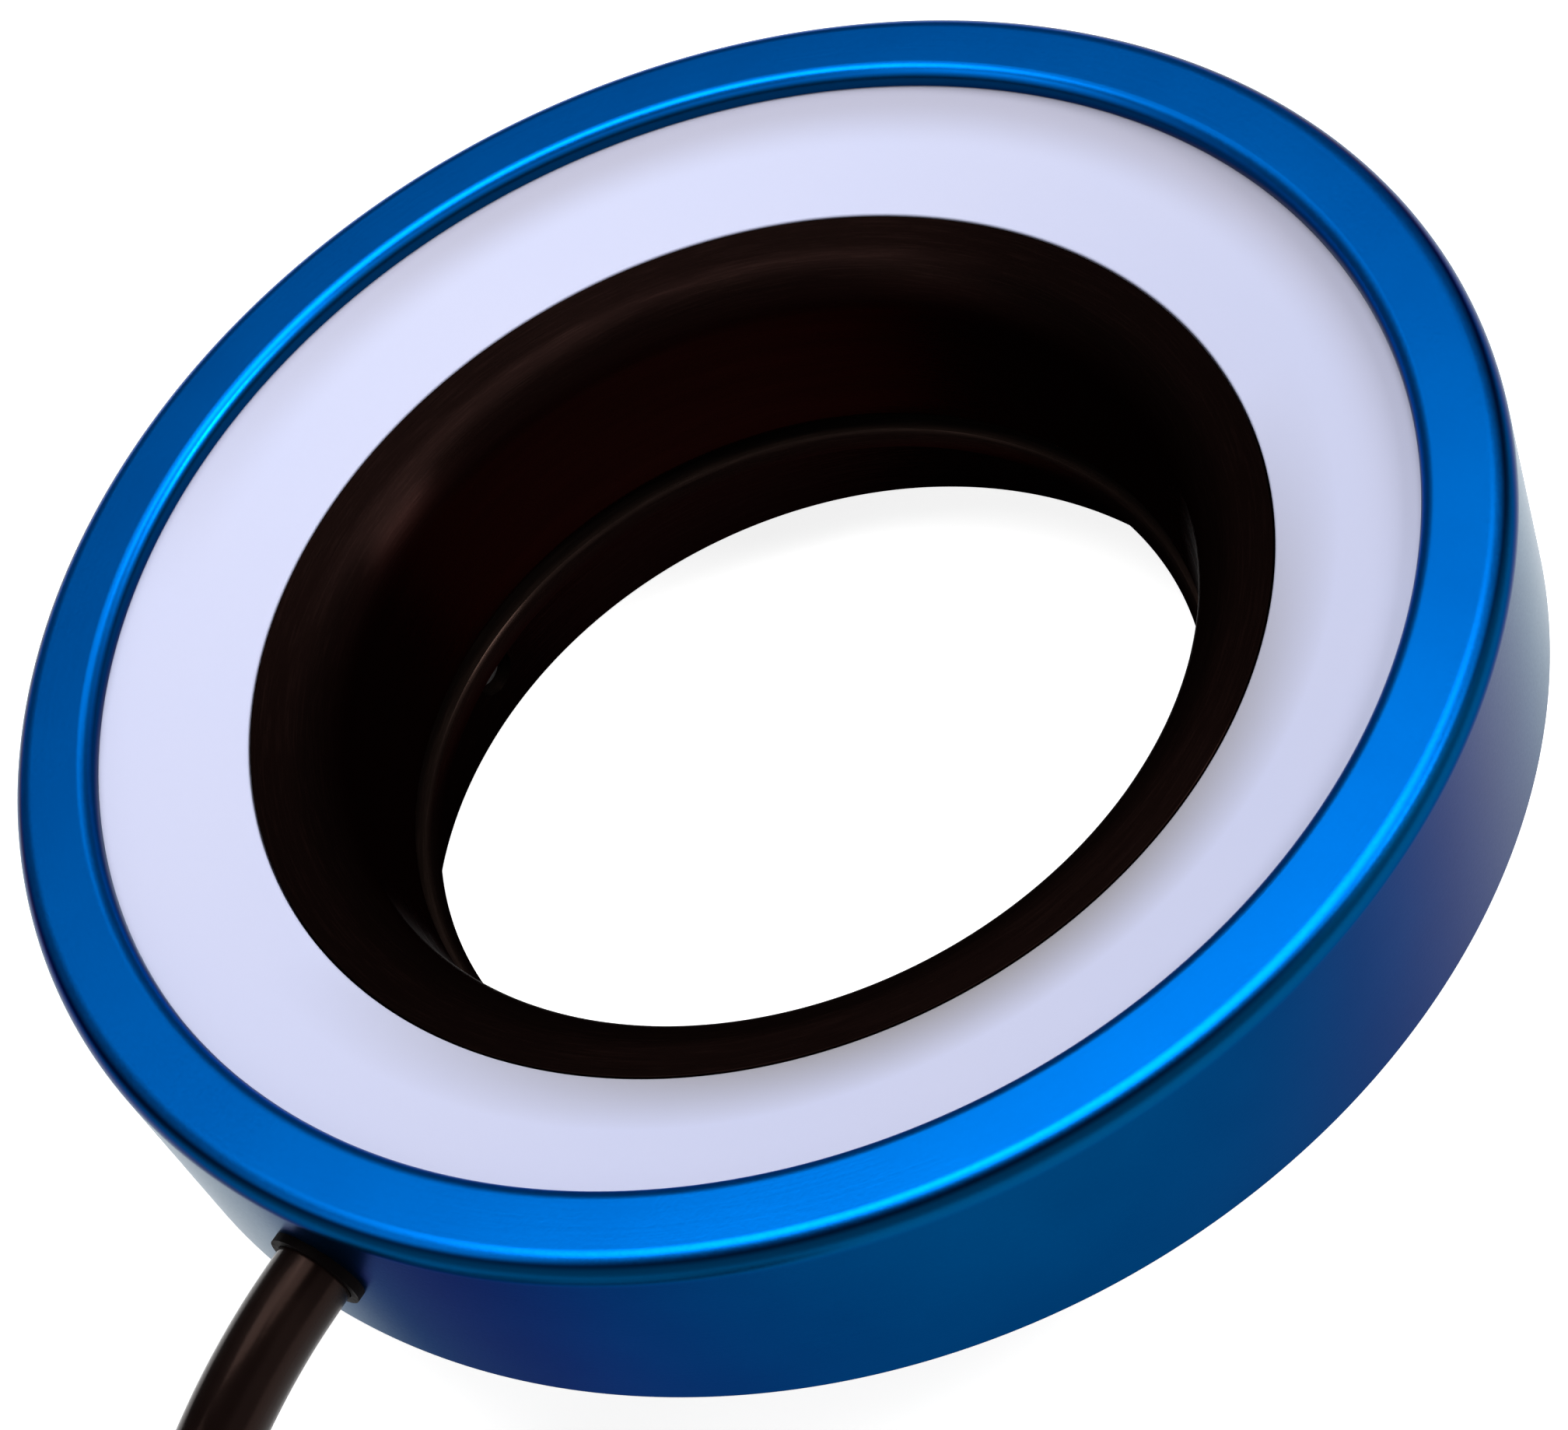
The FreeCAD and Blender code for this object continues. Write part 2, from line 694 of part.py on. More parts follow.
def coil_ways():
    """Points and directions that the coil's arcs run through, quarter turn by quarter turn."""
    places = [(coil_place(0), CABLE_WAY)]
    quarters = int(coil_end_turns * 4)
    for quarter in range(1, quarters + 1):
        places.append((coil_place(quarter / 4), coil_way(quarter / 4)))
    leave = coil_way(coil_end_turns)
    places.append((coil_place(coil_end_turns), leave))
    return places


def tail_ways():
    """From the top layer down to the floor, ending level."""
    place = coil_place(coil_end_turns)
    leave = coil_way(coil_end_turns)
    leave.z = 0
    leave.normalize()
    slope = math.radians(tail_slope)
    half_drop = coil_pitch / 2
    half_run = half_drop / math.tan(slope / 2)
    start = place + leave * tail_run
    middle = start + leave * half_run - Z * half_drop
    down = (leave * math.cos(slope) - Z * math.sin(slope)).normalize()
    end = start + leave * 2 * half_run - Z * coil_pitch
    return [(start, leave), (middle, down), (end, leave)], end + leave * sleeve_run, leave


def make_coil():
    """Coil and tail as one route of arcs, straight at both ends."""
    coil = coil_ways()
    tail, end, _ = tail_ways()
    beginning = coil[0][0] - CABLE_WAY * end_run
    edges = [Part.makeLine(beginning, coil[0][0])]
    radii = []
    for stretch in (coil, tail):
        for (start, start_way), (stop, stop_way) in zip(stretch, stretch[1:]):
            arcs, sizes = biarc(start, start_way, stop, stop_way)
            edges += arcs
            radii += sizes
        if stretch is coil:
            edges.append(Part.makeLine(coil[-1][0], tail[0][0]))
    edges.append(Part.makeLine(tail[-1][0], end))
    return Part.Wire(edges), radii


def least_gap(route):
    """Least distance between the surfaces of stretches over four diameters apart along the cable."""
    points = route.discretize(Distance=1.0)
    apart = int(8 * cable_radius)
    least = min(one.distanceToPoint(two)
                for index, one in enumerate(points) for two in points[index + apart:])
    return least - 2 * cable_radius


def make_tie(azimuth):
    """Band round the two strands that pass one side of the coil."""
    low = (azimuth - 180) / 360 % 1
    strands = [coil_place(low), coil_place(low + 1)]
    way = polar(1, azimuth + 90, 0)
    inner = cable_radius + tie_gap
    outer = inner + tie_thickness
    across = strands[1] - strands[0]
    lift = way.cross(across).normalize()
    parts = {}
    for radius in (inner, outer):
        rounds = [Part.makeCylinder(radius, tie_width, at - way * (tie_width / 2), way) for at in strands]
        corners = [strands[0] + lift * radius, strands[1] + lift * radius,
                   strands[1] - lift * radius, strands[0] - lift * radius]
        flat = Part.makePolygon([corner - way * (tie_width / 2) for corner in corners + corners[:1]])
        parts[radius] = rounds[0].fuse([rounds[1], Part.Face(flat).extrude(way * tie_width)])
    return parts[outer].cut(parts[inner]).removeSplitter()


def far_piece(shape):
    """Moves a piece drawn along +X from the jacket's end to the cable's far end."""
    _, end, leave = tail_ways()
    moved = shape.copy()
    moved.rotate(ORIGIN, Z, math.degrees(math.atan2(leave.y, leave.x)))
    moved.translate(end)
    return moved


def along(outline):
    """Turns an outline of (x, radius) about X."""
    solid = turned([(radius, x) for x, radius in outline])
    solid.rotate(ORIGIN, FreeCAD.Vector(0, 1, 0), 90)
    return solid


def make_sleeve():
    """Shrunk sleeve over the jacket's end and the start of the two conductors."""
    bore = cable_radius + fit_gap
    outer = bore + sleeve_wall
    sleeve = along([(-sleeve_on_jacket, bore), (-sleeve_on_jacket, outer), (0, outer),
                    (sleeve_taper, sleeve_nose), (sleeve_past_jacket, sleeve_nose), (sleeve_past_jacket, 0),
                    (0, 0), (0, bore)])
    cutters = []
    for side in (-1, 1):
        hole = FreeCAD.Vector(-1, side * tail_core_offset, 0)
        cutters.append(Part.makeCylinder(tail_core_radius + fit_gap, sleeve_past_jacket + 2, hole, X))
    return far_piece(cut_all(sleeve, cutters))


def make_tail_cores():
    cores = []
    for side in (-1, 1):
        middle = (sleeve_past_jacket + tail_core_length) / 2
        points = [(0, tail_core_offset), (sleeve_past_jacket + tail_core_end, tail_core_offset),
                  (middle, tail_core_offset + tail_core_bow),
                  (tail_core_length - tail_core_end, contact_offset),
                  (tail_core_length + core_in_shell, contact_offset)]
        route, _ = rounded_route([FreeCAD.Vector(x, side * y, 0) for x, y in points])
        cores.append(far_piece(tube(route, tail_core_radius)))
    return Part.makeCompound(cores)


def make_shell():
    """Two-way plug housing with a cavity in front, a channel for each contact and a latch on top."""
    base = FreeCAD.Vector(tail_core_length, -shell_width / 2, -shell_height / 2)
    body = Part.makeBox(shell_length, shell_width, shell_height, base)
    body = body.makeChamfer(shell_chamfer, [edge for edge in body.Edges if abs(edge.tangentAt(0).x) > 0.9])
    top = shell_height / 2
    latch_start = tail_core_length + shell_wall
    root = Part.makeBox(latch_root, latch_width, latch_rise + latch_thickness,
                        FreeCAD.Vector(latch_start, -latch_width / 2, top))
    arm = Part.makeBox(latch_length, latch_width, latch_thickness,
                       FreeCAD.Vector(latch_start, -latch_width / 2, top + latch_rise))
    front = tail_core_length + shell_length
    mouth = Part.makeBox(shell_depth, shell_width - 2 * shell_wall, shell_height - 2 * shell_wall,
                         FreeCAD.Vector(front - shell_depth, shell_wall - shell_width / 2, shell_wall - top))
    cutters = [mouth]
    for side in (-1, 1):
        hole = FreeCAD.Vector(tail_core_length - 1, side * contact_offset, 0)
        cutters.append(Part.makeCylinder(tail_core_radius + fit_gap, shell_length, hole, X))
    return far_piece(cut_all(body.fuse([root, arm]), cutters).removeSplitter())


def make_contacts():
    contacts = []
    for side in (-1, 1):
        base = FreeCAD.Vector(tail_core_length + core_in_shell, side * contact_offset - contact_half,
                              -contact_half)
        contacts.append(far_piece(Part.makeBox(contact_length, 2 * contact_half, 2 * contact_half, base)))
    return Part.makeCompound(contacts)


def report_cable(name, route, radii, solid):
    volume = route.Length * math.pi * cable_radius ** 2
    print(f"{name}: length {route.Length:.1f} mm, tightest bend {min(radii):.1f} mm,",
          f"volume {solid.Volume / volume:.4f} of section times length")


def make_pieces():
    cores = {side: make_core(side) for side in (-1, 1)}
    housing_screw = cross_screw(housing_screw_length)
    housing_screw.translate(Z * back_z)
    collar_screw = cross_screw(collar_screw_length)
    collar_screw.translate(Z * (collar_height - collar_flange))
    lead_route_wire, lead_radii = make_lead()
    coil_route, coil_radii = make_coil()
    pieces = {
        "housing_ring": make_housing(),
        "inner_barrel": make_barrel(),
        "lens_collar": make_collar(),
        "diffuser": make_diffuser(),
        "led_carrier": make_carrier(),
        "thermal_tape": make_tape(),
        "led_board": make_board(),
        "leds": make_leds(),
        "resistors": make_resistors(),
        "solder_joints": make_solder(cores),
        "wire_negative": cores[-1],
        "wire_positive": cores[1],
        "cable_clamp": make_clamp(),
        "clamp_screws": make_clamp_screws(),
        "housing_screws": Part.makeCompound(
            placed_about(housing_screw, housing_screw_circle, housing_screw_count, 0)),
        "collar_screws": Part.makeCompound(
            placed_about(collar_screw, collar_screw_circle, collar_screw_count, 0)),
        "cable_entry": make_cable_entry(),
        "cable_grommet": make_grommet(),
        "cable_lead": tube(lead_route_wire, cable_radius),
        "cable_coil": tube(coil_route, cable_radius),
        "coil_ties": Part.makeCompound([make_tie(azimuth) for azimuth in tie_azimuths]),
        "cable_sleeve": make_sleeve(),
        "tail_wires": make_tail_cores(),
        "connector_shell": make_shell(),
        "connector_contacts": make_contacts(),
    }
    for number, turn in enumerate(angles(set_screw_count, set_screw_azimuth), 1):
        pieces[f"set_screw_{number}"] = make_set_screw(turn)
    report_cable("cable_lead", lead_route_wire, lead_radii, pieces["cable_lead"])
    report_cable("cable_coil", coil_route, coil_radii, pieces["cable_coil"])
    print(f"cable_coil: least gap to itself {least_gap(coil_route):.2f} mm")
    return pieces


os.makedirs("parts", exist_ok=True)
for node, solid in make_pieces().items():
    assert solid.isValid(), node
    solid.exportStep(f"parts/{node}.step")
    print(f"{node}: {len(solid.Solids)} solids, {solid.Volume:.1f} mm3")
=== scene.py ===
import math

import bmesh
import bpy
from mathutils import Matrix, Vector


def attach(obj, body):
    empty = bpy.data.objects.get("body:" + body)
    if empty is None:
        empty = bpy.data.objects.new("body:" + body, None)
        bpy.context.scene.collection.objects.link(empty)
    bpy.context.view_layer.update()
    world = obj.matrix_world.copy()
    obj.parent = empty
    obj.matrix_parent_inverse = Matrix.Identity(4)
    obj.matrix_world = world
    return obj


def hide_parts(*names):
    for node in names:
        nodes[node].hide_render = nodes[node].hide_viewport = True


# LED ring light, face up: a blue anodised housing, a milky diffuser, a black turned bell mouth and a lens
# collar behind them, with its cable laid down beside it. Outlines are in millimetres, all else in metres.
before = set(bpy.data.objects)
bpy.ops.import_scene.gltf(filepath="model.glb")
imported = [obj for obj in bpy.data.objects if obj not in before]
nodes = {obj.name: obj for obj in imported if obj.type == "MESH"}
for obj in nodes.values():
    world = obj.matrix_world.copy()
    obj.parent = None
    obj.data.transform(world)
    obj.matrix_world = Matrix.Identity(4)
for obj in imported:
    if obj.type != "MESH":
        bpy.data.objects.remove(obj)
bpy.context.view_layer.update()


# Housing ring
# Turned from aluminium bar, bead blasted and anodised blue. Its front lip holds the diffuser, six screw
# holes in its back hold the base, and a round hole in its wall takes the cable's bush.
millimetre = 0.001
ring_steps = 384
hole_steps = 48
crease = math.radians(34)


def turned(bm, outline, steps, place=None):
    """Spins an outline of (radius, height) about Z in a bmesh, and moves the result to its place."""
    corners = [bm.verts.new((radius * millimetre, 0.0, height * millimetre)) for radius, height in outline]
    pairs = list(zip(corners, corners[1:]))
    if outline[0][0] > 0:
        pairs.append((corners[-1], corners[0]))
    sides = [bm.edges.new(pair) for pair in pairs]
    before = set(bm.verts) - set(corners)
    bmesh.ops.spin(bm, geom=corners + sides, cent=(0, 0, 0), axis=(0, 0, 1), dvec=(0, 0, 0), space=Matrix(),
                   angle=math.tau, steps=steps, use_merge=True, use_normal_flip=False, use_duplicate=False)
    made = [vertex for vertex in bm.verts if vertex not in before]
    bmesh.ops.remove_doubles(bm, verts=made, dist=1e-7)
    if place is not None:
        made = [vertex for vertex in bm.verts if vertex not in before]
        bmesh.ops.transform(bm, matrix=place, verts=made)


def eased(bm, rings):
    """Rounds ring edges. A ring is (radius, height, reach, segments)."""
    near = 4e-6
    for radius, height, reach, segments in rings:
        edges = []
        for edge in bm.edges:
            if all(abs(math.hypot(v.co.x, v.co.y) - radius * millimetre) < near
                   and abs(v.co.z - height * millimetre) < near for v in edge.verts):
                edges.append(edge)
        bmesh.ops.bevel(bm, geom=edges, offset=reach * millimetre, offset_type="OFFSET", segments=segments,
                        profile=0.5, affect="EDGES", clamp_overlap=False, material=-1)


def piece_from(bm, name):
    """Puts a bmesh into a new object, smooth but for its sharp edges."""
    bmesh.ops.recalc_face_normals(bm, faces=bm.faces)
    mesh = bpy.data.meshes.new(name)
    bm.to_mesh(mesh)
    bm.free()
    mesh.shade_smooth()
    mesh.set_sharp_from_angle(angle=crease)
    piece = bpy.data.objects.new(name, mesh)
    bpy.context.scene.collection.objects.link(piece)
    return piece


def drilled(piece, holes):
    """Takes turned cutters out of a piece. A hole is an outline from and to the axis, and its place."""
    bm = bmesh.new()
    for outline, place in holes:
        turned(bm, outline, hole_steps, place)
    cutter = piece_from(bm, "cutter")
    cut = piece.modifiers.new("holes", "BOOLEAN")
    cut.operation = "DIFFERENCE"
    cut.solver = "EXACT"
    cut.object = cutter
    bpy.context.view_layer.update()
    graph = bpy.context.evaluated_depsgraph_get()
    mesh = bpy.data.meshes.new_from_object(piece.evaluated_get(graph))
    piece.modifiers.clear()
    old = piece.data
    piece.data = mesh
    mesh.name = piece.name
    bpy.data.meshes.remove(old)
    bpy.data.objects.remove(cutter)
    mesh.shade_smooth()
    mesh.set_sharp_from_angle(angle=crease)


def flat_faces_kept_flat(piece):
    even = piece.modifiers.new("even normals", "WEIGHTED_NORMAL")
    even.keep_sharp = True
    even.weight = 50


def straight_hole(radius, depth):
    return [(0, 0), (radius, 0), (radius, depth), (0, depth)]


def on_circle(radius, turn, height):
    """The place at a radius and a turn round the Z axis."""
    return Matrix.Translation((radius * math.cos(turn), radius * math.sin(turn), height))


def new_material(name, colour, metallic, roughness):
    """A material whose shader holds the plain values, with its node tree and its shader."""
    material = bpy.data.materials.new(name)
    material.use_nodes = True
    shader = material.node_tree.nodes["Principled BSDF"]
    shader.inputs["Base Color"].default_value = (*colour, 1.0)
    shader.inputs["Metallic"].default_value = metallic
    shader.inputs["Roughness"].default_value = roughness
    return material, material.node_tree, shader


def turning_marks_group():
    """Fine marks that run round the Z axis, as a lathe tool leaves them."""
    group = bpy.data.node_groups.new("turning_marks", "ShaderNodeTree")
    face = group.interface
    face.new_socket("Length", in_out="INPUT", socket_type="NodeSocketFloat").default_value = 6.0
    face.new_socket("Fineness", in_out="INPUT", socket_type="NodeSocketFloat").default_value = 4000.0
    face.new_socket("Marks", in_out="OUTPUT", socket_type="NodeSocketFloat")
    inside = group.nodes.new("NodeGroupInput")
    outside = group.nodes.new("NodeGroupOutput")
    place = group.nodes.new("ShaderNodeTexCoord")
    split = group.nodes.new("ShaderNodeSeparateXYZ")
    level = group.nodes.new("ShaderNodeCombineXYZ")
    radius = group.nodes.new("ShaderNodeVectorMath")
    radius.operation = "LENGTH"
    way = group.nodes.new("ShaderNodeVectorMath")
    way.operation = "NORMALIZE"
    round_ring = group.nodes.new("ShaderNodeVectorMath")
    round_ring.operation = "SCALE"
    across = group.nodes.new("ShaderNodeMath")
    across.operation = "ADD"
    fine = group.nodes.new("ShaderNodeMath")
    fine.operation = "MULTIPLY"
    upward = group.nodes.new("ShaderNodeCombineXYZ")
    both = group.nodes.new("ShaderNodeVectorMath")
    both.operation = "ADD"
    noise = group.nodes.new("ShaderNodeTexNoise")
    noise.inputs["Scale"].default_value = 1.0
    noise.inputs["Detail"].default_value = 3.0
    noise.inputs["Roughness"].default_value = 0.65
    link = group.links.new
    link(place.outputs["Object"], split.inputs[0])
    link(split.outputs["X"], level.inputs["X"])
    link(split.outputs["Y"], level.inputs["Y"])
    link(level.outputs[0], radius.inputs[0])
    link(level.outputs[0], way.inputs[0])
    link(way.outputs[0], round_ring.inputs[0])
    link(inside.outputs["Length"], round_ring.inputs["Scale"])
    link(radius.outputs["Value"], across.inputs[0])
    link(split.outputs["Z"], across.inputs[1])
    link(across.outputs[0], fine.inputs[0])
    link(inside.outputs["Fineness"], fine.inputs[1])
    link(fine.outputs[0], upward.inputs["Z"])
    link(round_ring.outputs[0], both.inputs[0])
    link(upward.outputs[0], both.inputs[1])
    link(both.outputs[0], noise.inputs["Vector"])
    link(noise.outputs["Fac"], outside.inputs["Marks"])
    return group


def grain_group():
    """Even grain in all directions, for blasted, moulded and cast surfaces."""
    group = bpy.data.node_groups.new("grain", "ShaderNodeTree")
    face = group.interface
    face.new_socket("Size", in_out="INPUT", socket_type="NodeSocketFloat").default_value = 4000.0
    face.new_socket("Grain", in_out="OUTPUT", socket_type="NodeSocketFloat")
    inside = group.nodes.new("NodeGroupInput")
    outside = group.nodes.new("NodeGroupOutput")
    place = group.nodes.new("ShaderNodeTexCoord")
    noise = group.nodes.new("ShaderNodeTexNoise")
    noise.inputs["Detail"].default_value = 2.0
    noise.inputs["Roughness"].default_value = 0.6
    group.links.new(place.outputs["Object"], noise.inputs["Vector"])
    group.links.new(inside.outputs["Size"], noise.inputs["Scale"])
    group.links.new(noise.outputs["Fac"], outside.inputs["Grain"])
    return group


turning_marks = turning_marks_group()
grain = grain_group()


def add_group(tree, group, **values):
    node = tree.nodes.new("ShaderNodeGroup")
    node.node_tree = group
    for name, value in values.items():
        node.inputs[name].default_value = value
    return node


def add_bump(tree, shader, height, strength, depth):
    """Drives the shader's normal with a height."""
    bump = tree.nodes.new("ShaderNodeBump")
    bump.inputs["Strength"].default_value = strength
    bump.inputs["Distance"].default_value = depth
    tree.links.new(height, bump.inputs["Height"])
    tree.links.new(bump.outputs["Normal"], shader.inputs["Normal"])


def add_range(tree, value, low, high, to_low, to_high, smooth=False):
    """Maps a value from one range to another."""
    step = tree.nodes.new("ShaderNodeMapRange")
    step.interpolation_type = "SMOOTHSTEP" if smooth else "LINEAR"
    step.inputs["From Min"].default_value = low
    step.inputs["From Max"].default_value = high
    step.inputs["To Min"].default_value = to_low
    step.inputs["To Max"].default_value = to_high
    tree.links.new(value, step.inputs["Value"])
    return step.outputs["Result"]


def add_math(tree, operation, *values):
    """Joins values, each a socket or a plain number, by one step of arithmetic."""
    step = tree.nodes.new("ShaderNodeMath")
    step.operation = operation
    for socket, value in zip(step.inputs, values):
        if isinstance(value, float):
            socket.default_value = value
        else:
            tree.links.new(value, socket)
    return step.outputs[0]


def add_along(tree, place, direction):
    """How far a place lies along a direction."""
    along = tree.nodes.new("ShaderNodeVectorMath")
    along.operation = "DOT_PRODUCT"
    along.inputs[1].default_value = direction
    tree.links.new(place, along.inputs[0])
    return along.outputs["Value"]


def add_mix(tree, mask, first, second):
    """Mixes two colours, each a socket or plain numbers, by a mask."""
    mix = tree.nodes.new("ShaderNodeMix")
    mix.data_type = "RGBA"
    tree.links.new(mask, mix.inputs["Factor"])
    for name, colour in (("A", first), ("B", second)):
        socket = next(s for s in mix.inputs if s.name == name and s.type == "RGBA")
        if isinstance(colour, tuple):
            socket.default_value = (*colour, 1.0)
        else:
            tree.links.new(colour, socket)
    return next(s for s in mix.outputs if s.type == "RGBA")


def add_radius(tree):
    """Distance from the Z axis, and the height, as sockets."""
    place = tree.nodes.new("ShaderNodeTexCoord")
    split = tree.nodes.new("ShaderNodeSeparateXYZ")
    level = tree.nodes.new("ShaderNodeCombineXYZ")
    radius = tree.nodes.new("ShaderNodeVectorMath")
    radius.operation = "LENGTH"
    tree.links.new(place.outputs["Object"], split.inputs[0])
    tree.links.new(split.outputs["X"], level.inputs["X"])
    tree.links.new(split.outputs["Y"], level.inputs["Y"])
    tree.links.new(level.outputs[0], radius.inputs[0])
    return radius.outputs["Value"], split.outputs["Z"]


def dress(name, material):
    """Gives a CAD node's slots a material."""
    for place in nodes[name].material_slots:
        place.material = material


outer_radius, front_height, back_height = 45.0, 27.3, 12.6
back_chamfer = 0.3
lip_radius, lip_underside = 39.8, 25.93
seat_radius, seat_height = 40.6, 26.144
step_radius, step_height = 44.25, 15.6
rim_rounding, lip_rounding = 1.45, 0.9
housing_outline = [
    (step_radius, back_height), (outer_radius - back_chamfer, back_height),
    (outer_radius, back_height + back_chamfer), (outer_radius, front_height), (lip_radius, front_height),
    (lip_radius, lip_underside), (seat_radius, seat_height), (seat_radius, step_height),
    (step_radius, step_height),
]
bm = bmesh.new()
turned(bm, housing_outline, ring_steps)
eased(bm, [(outer_radius, front_height, rim_rounding, 14), (lip_radius, front_height, lip_rounding, 8),
           (lip_radius, lip_underside, 0.06, 2), (outer_radius, back_height + back_chamfer, 0.1, 2),
           (outer_radius - back_chamfer, back_height, 0.1, 2)])
housing = piece_from(bm, "ring_housing")
screw_turns = [math.radians(60 * step) for step in range(6)]
screw_circle, drill_start = 0.04225, 0.0116
tapped_radius = 1.05
holes = []
for turn in screw_turns:
    holes.append((straight_hole(tapped_radius, 8.0), on_circle(screw_circle, turn, drill_start)))
bush_hole_radius = 2.70
wall_inside, cable_height = 0.039, 0.0207
outwards = Matrix.Rotation(math.radians(90), 4, "X")
towards_cable = Matrix.Translation((0, -wall_inside, cable_height)) @ outwards
holes.append((straight_hole(bush_hole_radius, 8.0), towards_cable))
drilled(housing, holes)
flat_faces_kept_flat(housing)

# the face keeps the lit blue; the wall and the lip's inner wall get darker blues of painted shade
face_blue, face_blue_light = (0.0, 0.178, 0.735), (0.0, 0.200, 0.80)
painted_shade_wall_blue, painted_shade_wall_blue_light = (0.0, 0.040, 0.115), (0.0, 0.045, 0.128)
painted_reflection_edge_blue, painted_shade_line_blue = (0.0, 0.048, 0.142), (0.0, 0.017, 0.068)
blue, tree, shader = new_material("blue_anodised", face_blue, 1.0, 0.30)
shader.inputs["Specular Tint"].default_value = (0.13, 0.34, 0.42, 1.0)
shader.inputs["Coat IOR"].default_value = 1.12
shader.inputs["Coat Roughness"].default_value = 0.30
# the sealed skin shines at flat angles, but hardly beside the cable
grazing = tree.nodes.new("ShaderNodeLayerWeight")
gloss = add_range(tree, grazing.outputs["Facing"], 0.47, 0.74, 0.0, 1.0, smooth=True)
held = tree.nodes.new("ShaderNodeTexCoord")
by_cable = add_along(tree, held.outputs["Object"], (0.5, -0.866, 0.0))
kept_gloss = add_range(tree, by_cable, 0.0365, 0.0415, 1.0, 0.15, smooth=True)
tree.links.new(add_math(tree, "MULTIPLY", gloss, kept_gloss), shader.inputs["Coat Weight"])
radius, height = add_radius(tree)
# masks for the painted shade: the wall outside the rounded edge, and the lip's inner wall
outside = add_range(tree, radius, 0.04405, 0.04445, 0.0, 1.0, smooth=True)
inside = add_range(tree, radius, 0.03983, 0.04002, 1.0, 0.0, smooth=True)
painted_shade_area = add_math(tree, "MAXIMUM", outside, inside)
# a dark line of painted shade runs round the top of the rounded edge and of the lip's inner edge,
# over a lighter band of painted reflection
above_wall = add_range(tree, height, 0.0256, 0.0260, 0.0, 1.0, smooth=True)
at_rim = add_range(tree, height, 0.02680, 0.02705, 0.0, 1.0, smooth=True)
rounded = add_mix(tree, at_rim, painted_reflection_edge_blue, painted_shade_line_blue)
tinted = add_mix(tree, painted_shade_area, face_blue, add_mix(tree, above_wall, painted_shade_wall_blue, rounded))
lighter = add_mix(tree, painted_shade_area, face_blue_light, add_mix(tree, above_wall, painted_shade_wall_blue_light, rounded))
cloud = add_group(tree, grain, Size=90.0)
patchy = add_range(tree, cloud.outputs["Grain"], 0.3, 0.7, 0.0, 1.0)
tree.links.new(add_mix(tree, patchy, tinted, lighter), shader.inputs["Base Color"])
blasted = add_group(tree, grain, Size=5200.0)
tree.links.new(add_range(tree, blasted.outputs["Grain"], 0.25, 0.75, 0.29, 0.36), shader.inputs["Roughness"])
rings = add_group(tree, turning_marks, Length=3.0, Fineness=5200.0)
relief = add_math(tree, "ADD", blasted.outputs["Grain"], rings.outputs["Marks"])
add_bump(tree, shader, relief, 0.35, 0.00001)
housing.data.materials.append(blue)
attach(housing, "ring")
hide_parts("housing_ring")


# Diffuser
# A ring of opal acrylic, dished to a shallow cone, that drops in behind the lip. Its colour carries
# painted shade: grey at the inner edge on one side of the ring and at the outer edge on the other side.
diffuser_inner, diffuser_outer = 31.22, 40.5
inner_back, outer_back = 22.331, 24.818
diffuser_thickness = 1.25
inner_front, outer_front = inner_back + diffuser_thickness, outer_back + diffuser_thickness
diffuser_outline = [(diffuser_inner, inner_back), (diffuser_outer, outer_back),
                    (diffuser_outer, outer_front), (diffuser_inner, inner_front)]
bm = bmesh.new()
turned(bm, diffuser_outline, ring_steps)
eased(bm, [(diffuser_inner, inner_front, 0.12, 3), (diffuser_outer, outer_front, 0.12, 3)])
diffuser = piece_from(bm, "opal_diffuser")
flat_faces_kept_flat(diffuser)


def shade_on_side(tree, place, band, towards, start, full):
    """A band of the ring given painted shade only on the side a direction points to."""
    side = add_range(tree, add_along(tree, place, towards), start, full, 0.0, 1.0)
    return add_math(tree, "MULTIPLY", band, side)


milky_cool, milky_warm = (0.629, 0.669, 0.912), (0.654, 0.679, 0.892)
painted_shade_inner_grey, painted_shade_outer_grey = (0.340, 0.325, 0.345), (0.500, 0.500, 0.640)
opal, tree, shader = new_material("opal_acrylic", (0.655, 0.690, 0.920), 0.0, 0.42)
shader.inputs["IOR"].default_value = 1.49
radius = add_radius(tree)[0]
held = tree.nodes.new("ShaderNodeTexCoord")
place = held.outputs["Object"]
# painted shade: grey at the inner edge on one side and at the outer edge on the opposite side
inner_band = add_range(tree, radius, 0.0312, 0.0350, 1.0, 0.0)
outer_band = add_range(tree, radius, 0.0357, 0.0390, 0.0, 1.0, smooth=True)
inner_shade = shade_on_side(tree, place, inner_band, (0.866, -0.500, 0.0), 0.005, 0.033)
outer_shade = shade_on_side(tree, place, outer_band, (-0.342, 0.940, 0.0), 0.000, 0.030)
haze = add_group(tree, grain, Size=60.0)
milky = add_mix(tree, haze.outputs["Grain"], milky_cool, milky_warm)
inner_tinted = add_mix(tree, inner_shade, milky, painted_shade_inner_grey)
tree.links.new(add_mix(tree, outer_shade, inner_tinted, painted_shade_outer_grey), shader.inputs["Base Color"])
satin = add_group(tree, grain, Size=3000.0)
add_bump(tree, shader, satin.outputs["Grain"], 0.12, 0.00001)
diffuser.data.materials.append(opal)
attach(diffuser, "ring")
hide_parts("diffuser")


